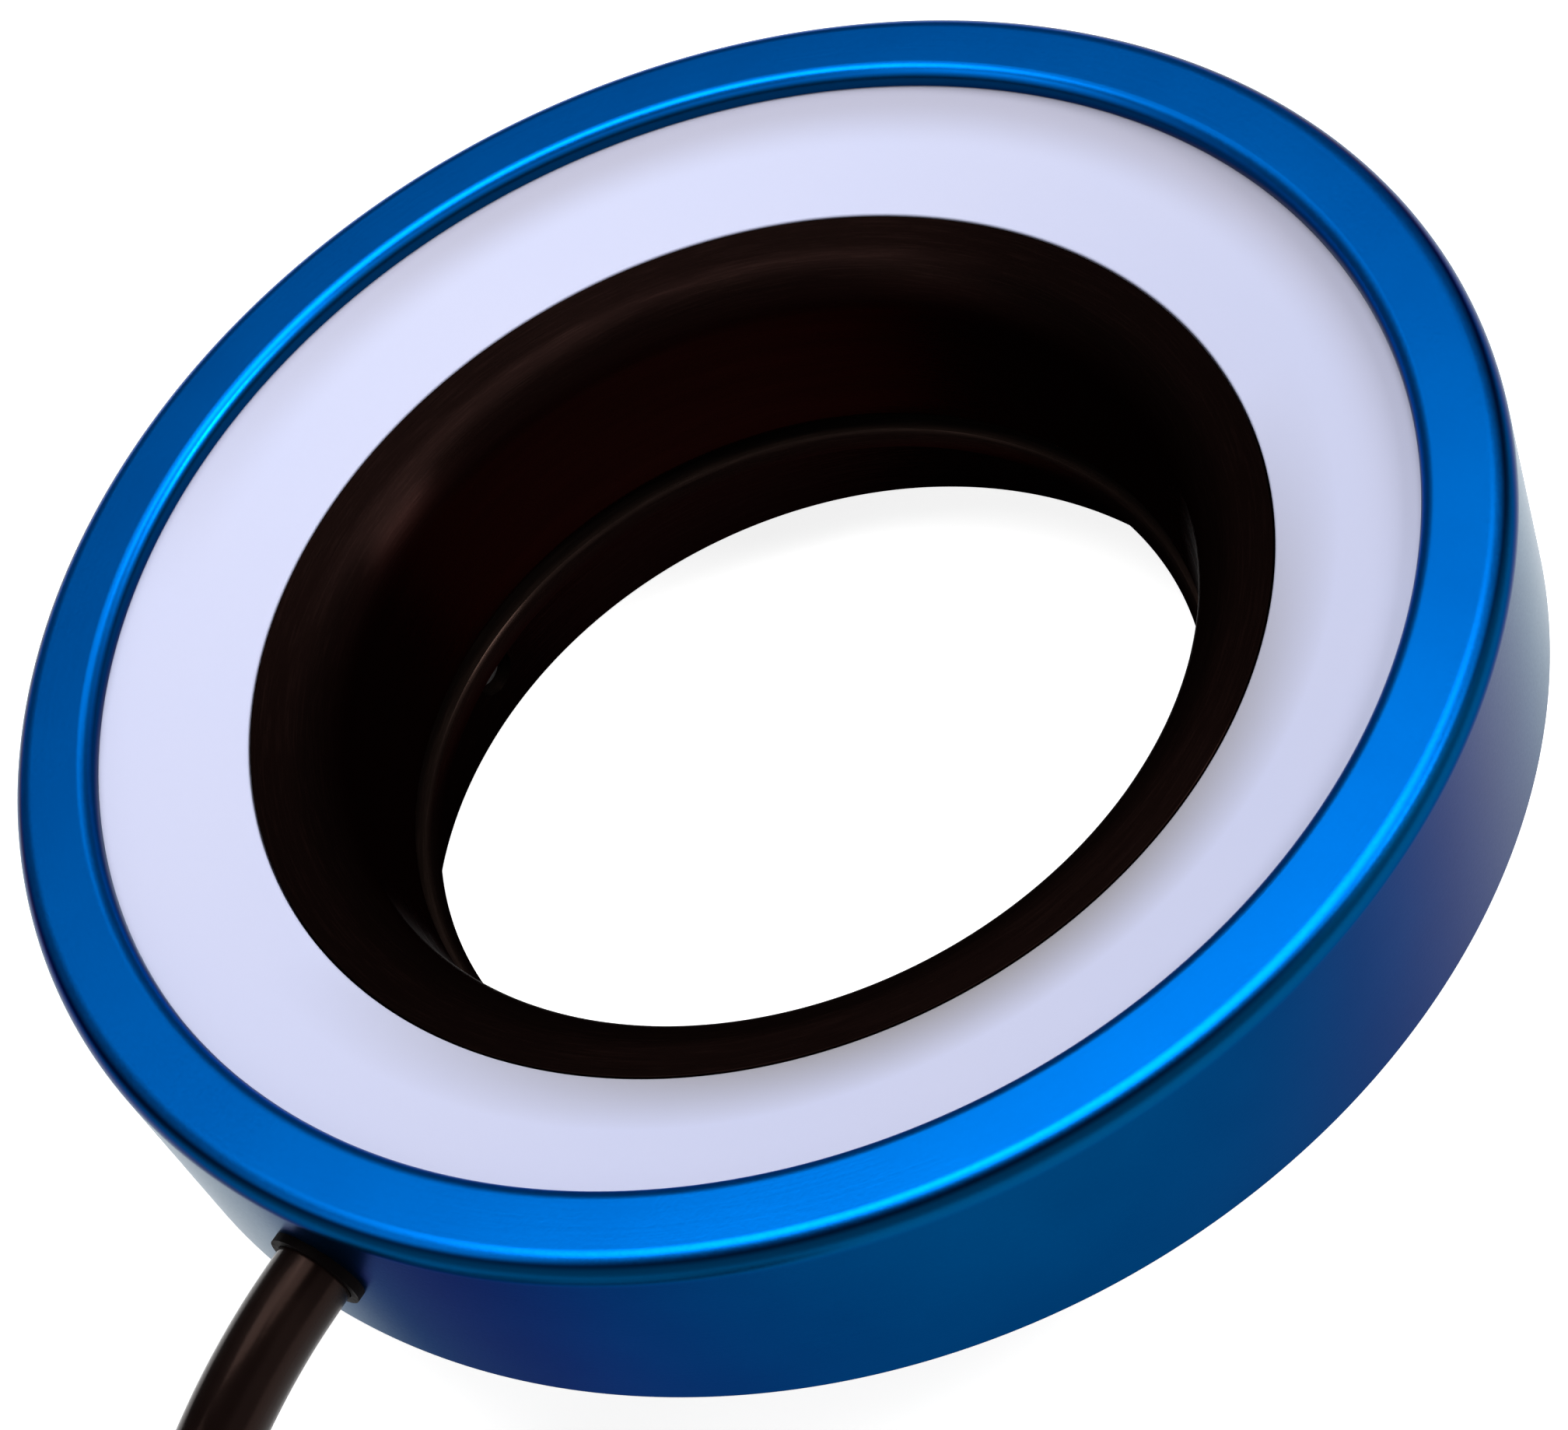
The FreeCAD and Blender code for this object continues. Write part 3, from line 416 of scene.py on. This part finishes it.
# Carrier
# An aluminium ring turned with a sloping seat, which holds the board at the angle that sends the light
# to the middle. It is left plain, as it came off the lathe.
bare, cut = (0.74, 0.74, 0.75), (0.60, 0.61, 0.62)
plain_aluminium, tree, shader = new_material("plain_aluminium", bare, 1.0, 0.42)
lathe = add_group(tree, turning_marks, Length=4.0, Fineness=2600.0)
tree.links.new(add_mix(tree, lathe.outputs["Marks"], bare, cut), shader.inputs["Base Color"])
tree.links.new(add_range(tree, lathe.outputs["Marks"], 0.3, 0.7, 0.28, 0.42), shader.inputs["Roughness"])
add_bump(tree, shader, lathe.outputs["Marks"], 0.3, 0.00001)
dress("led_carrier", plain_aluminium)


# Thermal tape
# A soft grey pad with a glass weave, pressed between the board and its seat. It carries the LEDs' heat
# over to the aluminium.


def moulded(name, colour, second, size, smooth, rough, depth):
    """Plastic, rubber or glaze: two near colours in soft clouds, with a fine grain over them."""
    material, tree, shader = new_material(name, colour, 0.0, rough)
    fine = add_group(tree, grain, Size=size)
    broad = add_group(tree, grain, Size=size / 10)
    clouds = add_range(tree, broad.outputs["Grain"], 0.35, 0.65, 0.0, 1.0)
    matt = add_range(tree, fine.outputs["Grain"], 0.3, 0.7, smooth, rough)
    tree.links.new(add_mix(tree, clouds, colour, second), shader.inputs["Base Color"])
    tree.links.new(matt, shader.inputs["Roughness"])
    add_bump(tree, shader, fine.outputs["Grain"], 0.3, depth)
    return material


def inside_of(material):
    """A material's node tree and its shader."""
    return material.node_tree, material.node_tree.nodes["Principled BSDF"]


thermal_pad = moulded("thermal_pad", (0.56, 0.58, 0.62), (0.48, 0.50, 0.55), 2400.0, 0.6, 0.85, 0.00004)
dress("thermal_tape", thermal_pad)


# Board
# A thin printed board bent to the seat's cone. White solder mask covers the copper, which shows through
# it as one broad dull band under the two rows of LEDs.
mask_white, over_copper = (0.83, 0.84, 0.82), (0.70, 0.72, 0.69)
board_white = moulded("solder_mask", mask_white, (0.78, 0.79, 0.77), 1500.0, 0.3, 0.45, 0.00001)
tree, shader = inside_of(board_white)
radius = add_radius(tree)[0]
inner_track = add_range(tree, radius, 0.0342, 0.0346, 0.0, 1.0, smooth=True)
outer_track = add_range(tree, radius, 0.0382, 0.0386, 1.0, 0.0, smooth=True)
copper = add_math(tree, "MULTIPLY", inner_track, outer_track)
tree.links.new(add_mix(tree, copper, mask_white, over_copper), shader.inputs["Base Color"])
dress("led_board", board_white)


# LEDs and resistors
# Surface-mount parts soldered to the board: white LED cases with a yellow lens on their upper face, and
# resistors of white ceramic with a black glazed top.


def add_upward(tree, low, high):
    """1 on faces that look along the light, 0 on sides."""
    face = tree.nodes.new("ShaderNodeNewGeometry")
    split = tree.nodes.new("ShaderNodeSeparateXYZ")
    tree.links.new(face.outputs["Normal"], split.inputs[0])
    return add_range(tree, split.outputs["Z"], low, high, 0.0, 1.0)


def topped(material, side_colour, top_colour):
    """Gives a material another colour on the faces that look up."""
    tree, shader = inside_of(material)
    tree.links.new(add_mix(tree, add_upward(tree, 0.90, 0.94), side_colour, top_colour),
                   shader.inputs["Base Color"])
    return material


case_white, lens_yellow = (0.82, 0.82, 0.79), (0.86, 0.72, 0.22)
led_white = moulded("led_case", case_white, (0.76, 0.76, 0.72), 3000.0, 0.22, 0.4, 0.00001)
dress("leds", topped(led_white, case_white, lens_yellow))
ceramic, glaze = (0.74, 0.73, 0.70), (0.02, 0.02, 0.022)
chip_black = moulded("resistor_chip", ceramic, (0.66, 0.65, 0.62), 3000.0, 0.35, 0.5, 0.00001)
dress("resistors", topped(chip_black, ceramic, glaze))


# Conductors and their joints
# The cable's two cores, red and black, run from the jacket's end to their pads on the board and are
# soldered there.


def cast_metal(name, colour, second, size, smooth, rough, depth):
    """Metal whose surface set, was pressed or was plated: soft dents and a little dulling."""
    material = moulded(name, colour, second, size, smooth, rough, depth)
    shader = inside_of(material)[1]
    shader.inputs["Metallic"].default_value = 1.0
    return material


solder = cast_metal("solder", (0.74, 0.74, 0.73), (0.60, 0.60, 0.59), 900.0, 0.14, 0.34, 0.00004)
dress("solder_joints", solder)
core_red, core_red_deep = (0.52, 0.020, 0.014), (0.44, 0.014, 0.010)
dress("wire_positive", moulded("core_red", core_red, core_red_deep, 1400.0, 0.28, 0.42, 0.00002))
core_black, core_black_pale = (0.012, 0.011, 0.011), (0.020, 0.018, 0.018)
dress("wire_negative", moulded("core_black", core_black, core_black_pale, 1400.0, 0.28, 0.42, 0.00002))


# Cable clamp
# A bent steel strap over the jacket inside the chamber. Two cheese-head screws hold it on the carrier, so
# a pull on the cable doesn't reach the joints.
pressed_steel = cast_metal("pressed_steel", (0.58, 0.58, 0.59), (0.46, 0.46, 0.48), 1800.0, 0.26, 0.44,
                           0.00002)
dress("cable_clamp", pressed_steel)
dress("clamp_screws", pressed_steel)


# Bell mouth and base
# One piece of aluminium, turned and anodised black. The bell guides the light inwards, and the flange
# closes the housing's back, with screws into the housing and threads for a stand.
fall = math.radians(8.8)
taper = math.radians(6.3)
wall_foot = (25.206, 11.3)
wall_base = (25.35, 12.6)
bell_edge = (31.12, 23.554)
bell_back = 22.254
shoulder_radius, shoulder_height = 32.6, 22.651
flange_radius, spigot_radius = 44.2, 27.0
# where the bell's fall meets the tapered wall
run = ((wall_base[0] - bell_edge[0]) * math.cos(taper)
       - (wall_base[1] - bell_edge[1]) * math.sin(taper))
reach = run / (-math.cos(fall) * math.cos(taper) + math.sin(fall) * math.sin(taper))
bell_corner = (bell_edge[0] - reach * math.cos(fall), bell_edge[1] - reach * math.sin(fall))
barrel_outline = [
    wall_foot, wall_base, bell_corner, bell_edge, (bell_edge[0], bell_back),
    (shoulder_radius, shoulder_height), (shoulder_radius, step_height), (flange_radius, step_height),
    (flange_radius, back_height), (spigot_radius, back_height), (spigot_radius, wall_foot[1]),
]
turn_in = math.pi / 2 - fall - taper
bell_curve = 3.5
bell_rounding = bell_curve * math.tan(turn_in / 2)
bm = bmesh.new()
turned(bm, barrel_outline, ring_steps)
eased(bm, [(*bell_corner, bell_rounding, 14), (*bell_edge, 0.08, 3), (*wall_foot, 0.45, 5),
           (flange_radius, back_height, 0.2, 2), (flange_radius, step_height, 0.1, 2)])
barrel = piece_from(bm, "bell_mouth")
stand_circle, collar_circle = 0.040, 0.0355
stand_hole = [(0, 0), (1.65, 0), (1.65, 1.0), (1.25, 1.4), (1.25, 5.0), (0, 5.0)]
countersunk_hole = [(0, -1), (1.85, -1), (1.85, 0.15), (1.1, 0.9), (1.1, 4.0), (0, 4.0)]
quarter_turns = [math.radians(90 * step) for step in range(4)]
diagonal_turns = [math.radians(45 + 90 * step) for step in range(4)]
holes = []
for diagonal, turn in zip(diagonal_turns, quarter_turns):
    holes.append((stand_hole, on_circle(stand_circle, diagonal, drill_start)))
    holes.append((straight_hole(tapped_radius, 5.0), on_circle(collar_circle, turn, drill_start)))
for turn in screw_turns:
    holes.append((countersunk_hole, on_circle(screw_circle, turn, back_height * millimetre)))
drilled(barrel, holes)
flat_faces_kept_flat(barrel)


def black_anodised(name, colour, streak_colour, painted_top_light_colour, anisotropy):
    """Black anodised aluminium, tool marks round it, painted shade down the bore, painted light on upward
    faces.
    """
    material, tree, shader = new_material(name, colour, 0.75, 0.36)
    shader.inputs["Specular IOR Level"].default_value = 0.0
    shader.inputs["Specular Tint"].default_value = (0.04, 0.03, 0.03, 1.0)
    shader.inputs["Anisotropic"].default_value = anisotropy
    shader.inputs["Anisotropic Rotation"].default_value = 0.25
    tangent = tree.nodes.new("ShaderNodeTangent")
    tangent.direction_type = "RADIAL"
    tangent.axis = "Z"
    tree.links.new(tangent.outputs[0], shader.inputs["Tangent"])
    marks = add_group(tree, turning_marks, Length=9.0, Fineness=7000.0)
    broad = add_group(tree, turning_marks, Length=2.0, Fineness=900.0)
    streaks = add_range(tree, marks.outputs["Marks"], 0.50, 0.72, 0.0, 1.0)
    lit = add_mix(tree, streaks, colour, streak_colour)
    # painted shade: the colour goes darker down the bore
    painted_bore_shade = add_range(tree, add_radius(tree)[0], 0.0275, 0.0293, 1.0, 0.0, smooth=True)
    painted_bore_shade_colour = (0.9 * colour[0], 0.5 * colour[1], 0.5 * colour[2])
    bore = add_mix(tree, painted_bore_shade, lit, painted_bore_shade_colour)
    # painted light: faces that look up get a lighter colour
    painted_top_light = add_mix(tree, streaks, painted_top_light_colour, tuple(1.6 * part for part in painted_top_light_colour))
    tree.links.new(add_mix(tree, add_upward(tree, 0.3, 0.8), bore, painted_top_light), shader.inputs["Base Color"])
    tree.links.new(add_range(tree, broad.outputs["Marks"], 0.3, 0.7, 0.24, 0.33), shader.inputs["Roughness"])
    add_bump(tree, shader, marks.outputs["Marks"], 0.5, 0.00002)
    return material


# the barrel's upward faces get a little painted light
barrel_black = black_anodised("black_anodised_turned", (0.0062, 0.0026, 0.0021), (0.020, 0.0112, 0.0104),
                              (0.0072, 0.0035, 0.0030), 0.90)
barrel.data.materials.append(barrel_black)
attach(barrel, "ring")
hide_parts("inner_barrel")


# Screws of the base
# Six countersunk M2 screws with a cross recess, of zinc-plated steel. They go through the flange into the
# housing's back and pull the base against it.
zinc_plate = cast_metal("zinc_plate", (0.62, 0.63, 0.66), (0.50, 0.50, 0.52), 2600.0, 0.20, 0.38, 0.00002)
dress("housing_screws", zinc_plate)


# Lens collar
# A second turned aluminium ring behind the base, anodised black as well. The lens barrel goes into its
# wide bore as far as the ledge.
collar_radius, collar_flange_radius, collar_flange_back = 33.0, 38.0, 10.1
bore_radius, collar_chamfer = 28.25, 0.5
register_radius, register_height = 27.05, 10.4
ledge_height = 9.25
collar_outline = [
    (bore_radius + collar_chamfer, 0.0), (collar_radius - collar_chamfer, 0.0),
    (collar_radius, collar_chamfer), (collar_radius, collar_flange_back),
    (collar_flange_radius, collar_flange_back), (collar_flange_radius, back_height),
    (register_radius, back_height), (register_radius, register_height), (25.01, register_height),
    (24.75, 10.14), (24.49, ledge_height), (bore_radius, ledge_height), (bore_radius, collar_chamfer),
]
bm = bmesh.new()
turned(bm, collar_outline, ring_steps)
eased(bm, [(collar_flange_radius, collar_flange_back, 0.2, 2), (collar_radius, collar_flange_back, 0.2, 3)])
collar = piece_from(bm, "lens_holder")
set_screw_radius = 1.55
in_bore, set_screw_height = 0.0265, 0.0044
sideways = Matrix.Rotation(math.radians(90), 4, "Y")
holes = []
for step in range(3):
    turn = math.radians(60 + 120 * step)
    place = Matrix.Rotation(turn, 4, "Z") @ Matrix.Translation((in_bore, 0, set_screw_height))
    holes.append((straight_hole(set_screw_radius, 8.0), place @ sideways))
for turn in quarter_turns:
    holes.append((countersunk_hole, on_circle(collar_circle, turn, collar_flange_back * millimetre)))
drilled(collar, holes)
flat_faces_kept_flat(collar)
# the collar's upward faces, its ledge among them, get a much lighter colour of painted light
collar_black = black_anodised("black_anodised_collar", (0.0055, 0.0030, 0.0028), (0.009, 0.006, 0.0055),
                              (0.026, 0.016, 0.013), 0.6)
collar.data.materials.append(collar_black)
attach(collar, "ring")
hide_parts("lens_collar")


# Screws of the collar
# Four more M2 screws hold the collar on the base. Three M3 set screws of blackened steel stand in its
# wall, with threads of 0.5 mm pitch and a hexagon socket, and press on the lens barrel.
dress("collar_screws", zinc_plate)
thread_pitch = 0.0005
oxide = moulded("black_oxide", (0.022, 0.021, 0.022), (0.050, 0.047, 0.046), 3000.0, 0.30, 0.48, 0.00002)
tree, shader = inside_of(oxide)
shader.inputs["Metallic"].default_value = 0.6
thread_turns = add_math(tree, "MULTIPLY", add_radius(tree)[0], math.tau / thread_pitch)
add_bump(tree, shader, add_math(tree, "SINE", thread_turns), 0.8, 0.00012)
for number in (1, 2, 3):
    dress(f"set_screw_{number}", oxide)


# Bush
# A black rubber bush snapped through the wall, with a thin flange outside, so the wall's edge can't cut
# the cable. The jacket runs on through it into the chamber.
rubber = moulded("black_rubber", (0.003, 0.002, 0.002), (0.005, 0.003, 0.003), 2600.0, 0.50, 0.70, 0.00003)
shader = inside_of(rubber)[1]
shader.inputs["IOR"].default_value = 1.10
dress("cable_grommet", rubber)


# Cable jacket
# Black PVC, 4.7 mm thick, from the bush in the side wall down to the floor, round the tied coil and off it
# to the plug's sleeve.
jacket_diameter = 0.0047
jacket_route = [
    (0.0, -0.0450, 0.02070), (0.0, -0.0464, 0.02070), (0.0, -0.0492, 0.02055), (0.0, -0.05196, 0.02011),
    (0.0, -0.05467, 0.01939), (0.0, -0.05728, 0.01839), (0.0, -0.0612, 0.01639), (0.0, -0.06475, 0.01379),
    (0.0, -0.06895, 0.00951), (0.0, -0.0725, 0.00692), (0.0, -0.07644, 0.00495), (0.0, -0.08064, 0.00365),
    (0.0, -0.0850, 0.00305), (0.0, -0.0894, 0.00305),
]
coil_middle = Vector((0.0296, -0.0941, 0.0))
coil_start_radius = 0.0296
coil_pitch = 0.0052
coil_floor = 0.00305
coil_end = 1.748
points_per_turn = 20


def coil_point(turns):
    """The coil winds in on the floor, climbs for half a turn and winds out on top."""
    climb = (turns - 1) * math.tau
    inner = coil_start_radius - coil_pitch
    if turns <= 1:
        radius, height = coil_start_radius - coil_pitch * turns, coil_floor
    elif turns < 1.5:
        radius = inner - coil_pitch / math.tau * math.sin(climb)
        height = coil_floor + coil_pitch / 2 * (1 - math.cos(climb))
    else:
        radius, height = inner + coil_pitch * (turns - 1.5), coil_floor + coil_pitch
    turn = math.pi + math.tau * turns
    return coil_middle + Vector((radius * math.cos(turn), radius * math.sin(turn), height))


for step in range(int(coil_end * points_per_turn) + 1):
    jacket_route.append(tuple(coil_point(step / points_per_turn)))
tail_start = coil_point(coil_end)
tail_way = (coil_point(coil_end) - coil_point(coil_end - 0.0002)).normalized()
# the tail runs level, slopes down by one pitch and ends level again
drop_start = 0.009
drop_slope = math.radians(12.5)
half_run = coil_pitch / 2 / math.tan(drop_slope)
for run, drop in ((0.0, 0.0), (0.005, 0.0), (drop_start, 0.0), (drop_start + half_run * 0.5, 0.0),
                  (drop_start + half_run * 1.5, -coil_pitch), (drop_start + half_run * 2, -coil_pitch),
                  (0.017 + half_run * 2, -coil_pitch)):
    jacket_route.append(tuple(tail_start + tail_way * run + Vector((0, 0, drop))))
jacket_curve = bpy.data.curves.new("cable_jacket", "CURVE")
jacket_curve.dimensions = "3D"
jacket_curve.bevel_depth = jacket_diameter / 2
jacket_curve.bevel_resolution = 12
jacket_curve.use_fill_caps = True
jacket_curve.resolution_u = 8
spline = jacket_curve.splines.new("NURBS")
spline.points.add(len(jacket_route) - 1)
for place, point in zip(spline.points, jacket_route):
    place.co = (*point, 1.0)
spline.order_u = 3
spline.use_endpoint_u = True
jacket = bpy.data.objects.new("cable_jacket", jacket_curve)
bpy.context.scene.collection.objects.link(jacket)
pvc, tree, shader = new_material("black_pvc", (0.006, 0.003, 0.003), 0.0, 0.36)
shader.inputs["IOR"].default_value = 1.22
shader.inputs["Specular Tint"].default_value = (1.0, 0.60, 0.50, 1.0)
wavy = add_group(tree, grain, Size=260.0)
tree.links.new(add_range(tree, wavy.outputs["Grain"], 0.3, 0.7, 0.17, 0.25), shader.inputs["Roughness"])
tree.links.new(add_mix(tree, wavy.outputs["Grain"], (0.004, 0.002, 0.002), (0.009, 0.005, 0.004)),
               shader.inputs["Base Color"])
skin = add_group(tree, grain, Size=1600.0)
add_bump(tree, shader, skin.outputs["Grain"], 0.25, 0.00002)
jacket_curve.materials.append(pvc)
dress("cable_entry", pvc)
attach(jacket, "ring")
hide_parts("cable_lead", "cable_coil")


# Ties
# Two black nylon bands round the strands of the coil. Each is drawn tight in its own head, and its end is
# cut short.
nylon_black = moulded("black_nylon", (0.016, 0.015, 0.015), (0.026, 0.024, 0.024), 2200.0, 0.30, 0.48,
                      0.00002)
dress("coil_ties", nylon_black)
tie_clearance, tie_thickness = 0.00025, 0.0007
tie_band = tie_clearance + tie_thickness
head_block = ((0.0036, 0.0040, 0.0020), 0.0010, 0.0003)
cut_end = ((0.0018, 0.0056, 0.0006), 0.0011, 0.0001)
bm = bmesh.new()
for azimuth in (55, 235):
    strand = ((azimuth - 180) / 360) % 1
    lower, upper = coil_point(strand), coil_point(strand + 1)
    outwards = (upper - lower).normalized()
    turn = math.radians(azimuth + 90)
    onwards = Vector((math.cos(turn), math.sin(turn), 0))
    across = onwards.cross(outwards).normalized()
    seat = upper + outwards * (jacket_diameter / 2 + tie_band)
    axes = Matrix((onwards, across, outwards)).transposed().to_4x4()
    for size, rise, bevel in (head_block, cut_end):
        made = bmesh.ops.create_cube(bm, size=1.0)["verts"]
        bmesh.ops.scale(bm, vec=size, verts=made)
        edges = list({edge for vertex in made for edge in vertex.link_edges})
        block = bmesh.ops.bevel(bm, geom=edges, offset=bevel, offset_type="OFFSET", segments=3, profile=0.5,
                                affect="EDGES", clamp_overlap=True, material=-1)
        made = list({vertex for face in block["faces"] for vertex in face.verts})
        bmesh.ops.transform(bm, matrix=Matrix.Translation(seat + outwards * rise) @ axes, verts=made)
tie_heads = piece_from(bm, "tie_heads")
tie_heads.data.materials.append(nylon_black)
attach(tie_heads, "ring")


# Sleeve and tail
# Heat-shrunk sleeving closes the jacket's end. The red and the black core leave it side by side and run
# to the plug.
shrunk = moulded("shrunk_sleeving", (0.010, 0.009, 0.009), (0.018, 0.016, 0.016), 1300.0, 0.28, 0.50,
                 0.00005)
dress("cable_sleeve", shrunk)
tail_cores = moulded("tail_cores", core_red, core_red_deep, 1400.0, 0.28, 0.42, 0.00002)
tree, shader = inside_of(tail_cores)
beside = Vector((-tail_way.y, tail_way.x, 0))
middle = tail_start.dot(beside)
held = tree.nodes.new("ShaderNodeTexCoord")
offset = add_along(tree, held.outputs["Object"], beside)
red_side = add_range(tree, offset, middle - 0.00005, middle + 0.00005, 0.0, 1.0)
black_core, red_core = (0.014, 0.012, 0.012), (0.50, 0.018, 0.012)
tree.links.new(add_mix(tree, red_side, black_core, red_core), shader.inputs["Base Color"])
dress("tail_wires", tail_cores)


# Plug
# A two-way housing of natural nylon with a latch, moulded in one, and a tinned contact for each core. The
# whole cable with what it carries is one cord.
natural = moulded("natural_nylon", (0.74, 0.73, 0.68), (0.70, 0.69, 0.63), 1800.0, 0.30, 0.44, 0.00002)
dress("connector_shell", natural)
tin_plate = cast_metal("tin_plate", (0.72, 0.72, 0.70), (0.60, 0.60, 0.58), 2200.0, 0.16, 0.30, 0.00001)
dress("connector_contacts", tin_plate)


# Floor, lamps and camera
# A pale floor that looks white and keeps the shadow, six soft lamps round the object, a dim room, and the
# camera at the photograph's place and angle.
bm = bmesh.new()
bmesh.ops.create_circle(bm, cap_ends=True, segments=96, radius=3.0)
floor_mesh = bpy.data.meshes.new("floor")
bm.to_mesh(floor_mesh)
bm.free()
floor = bpy.data.objects.new("floor", floor_mesh)
bpy.context.scene.collection.objects.link(floor)
paper, tree, shader = new_material("pale_floor", (0.93, 0.93, 0.93), 0.0, 0.9)
shader.inputs["Specular IOR Level"].default_value = 0.0
shader.inputs["Emission Color"].default_value = (1.0, 1.0, 1.0, 1.0)
rays = tree.nodes.new("ShaderNodeLightPath")
seen = add_math(tree, "MAXIMUM", rays.outputs["Is Camera Ray"], rays.outputs["Is Glossy Ray"])
seen = add_math(tree, "MAXIMUM", seen, rays.outputs["Is Transmission Ray"])
tree.links.new(add_range(tree, seen, 0.0, 1.0, 0.0, 0.82), shader.inputs["Emission Strength"])
floor_mesh.materials.append(paper)


def soft_lamp(name, place, size, power):
    """A square soft box that faces the object."""
    box = bpy.data.lights.new(name, "AREA")
    box.shape = "SQUARE"
    box.size = size
    box.energy = power
    box.color = (1.0, 0.99, 0.98)
    lamp = bpy.data.objects.new(name, box)
    bpy.context.scene.collection.objects.link(lamp)
    lamp.location = place
    lamp.rotation_euler = Vector(place).to_track_quat("Z", "Y").to_euler()


soft_lamp("lamp_above", (0.073, 0.126, 0.582), 0.33, 1.20)
soft_lamp("lamp_back", (-0.225, 0.230, 0.500), 0.08, 0.05)
soft_lamp("lamp_left", (-0.136, -0.050, 0.582), 0.26, 0.80)
soft_lamp("lamp_far", (0.0, 0.318, 0.509), 0.22, 0.11)
soft_lamp("lamp_right", (0.39, 0.244, 0.386), 0.16, 1.10)
soft_lamp("lamp_side", (-0.212, -0.367, 0.424), 0.20, 0.15)

camera_data = bpy.data.cameras.new("camera")
camera_data.sensor_width = 36.0
camera_data.lens = 84.51
camera_data.shift_x = -0.00429
camera_data.shift_y = 0.14005
camera_data.clip_start = 0.01
camera_data.clip_end = 20.0
camera = bpy.data.objects.new("camera", camera_data)
bpy.context.scene.collection.objects.link(camera)
camera.matrix_world = Matrix((
    (0.7955484, -0.32185728, 0.51333287, 0.118146),
    (0.53043867, 0.7794257, -0.33336226, -0.084444),
    (-0.29280976, 0.53749742, 0.79079641, 0.182228),
    (0.0, 0.0, 0.0, 1.0),
))
bpy.context.scene.camera = camera
bpy.context.scene.view_settings.view_transform = "Standard"

# a soft glow overhead, and a low band of light on the camera's side of the room
world = bpy.data.worlds.new("world")
world.use_nodes = True
sky = world.node_tree
background = sky.nodes["Background"]
background.inputs["Color"].default_value = (0.97, 0.98, 1.0, 1.0)
where = sky.nodes.new("ShaderNodeTexCoord")
way = where.outputs["Generated"]
glow = add_range(sky, add_along(sky, way, (-0.277, 0.201, 0.940)), 0.75, 1.0, 0.03, 0.47, smooth=True)
window = add_range(sky, add_along(sky, way, (0.809, -0.588, 0.0)), -0.45, 0.2, 0.08, 1.0, smooth=True)
low_down = add_range(sky, add_along(sky, way, (0.0, 0.0, 1.0)), 0.55, 0.80, 0.50, 0.0, smooth=True)
sky.links.new(add_math(sky, "MULTIPLY_ADD", window, low_down, glow), background.inputs["Strength"])
bpy.context.scene.world = world
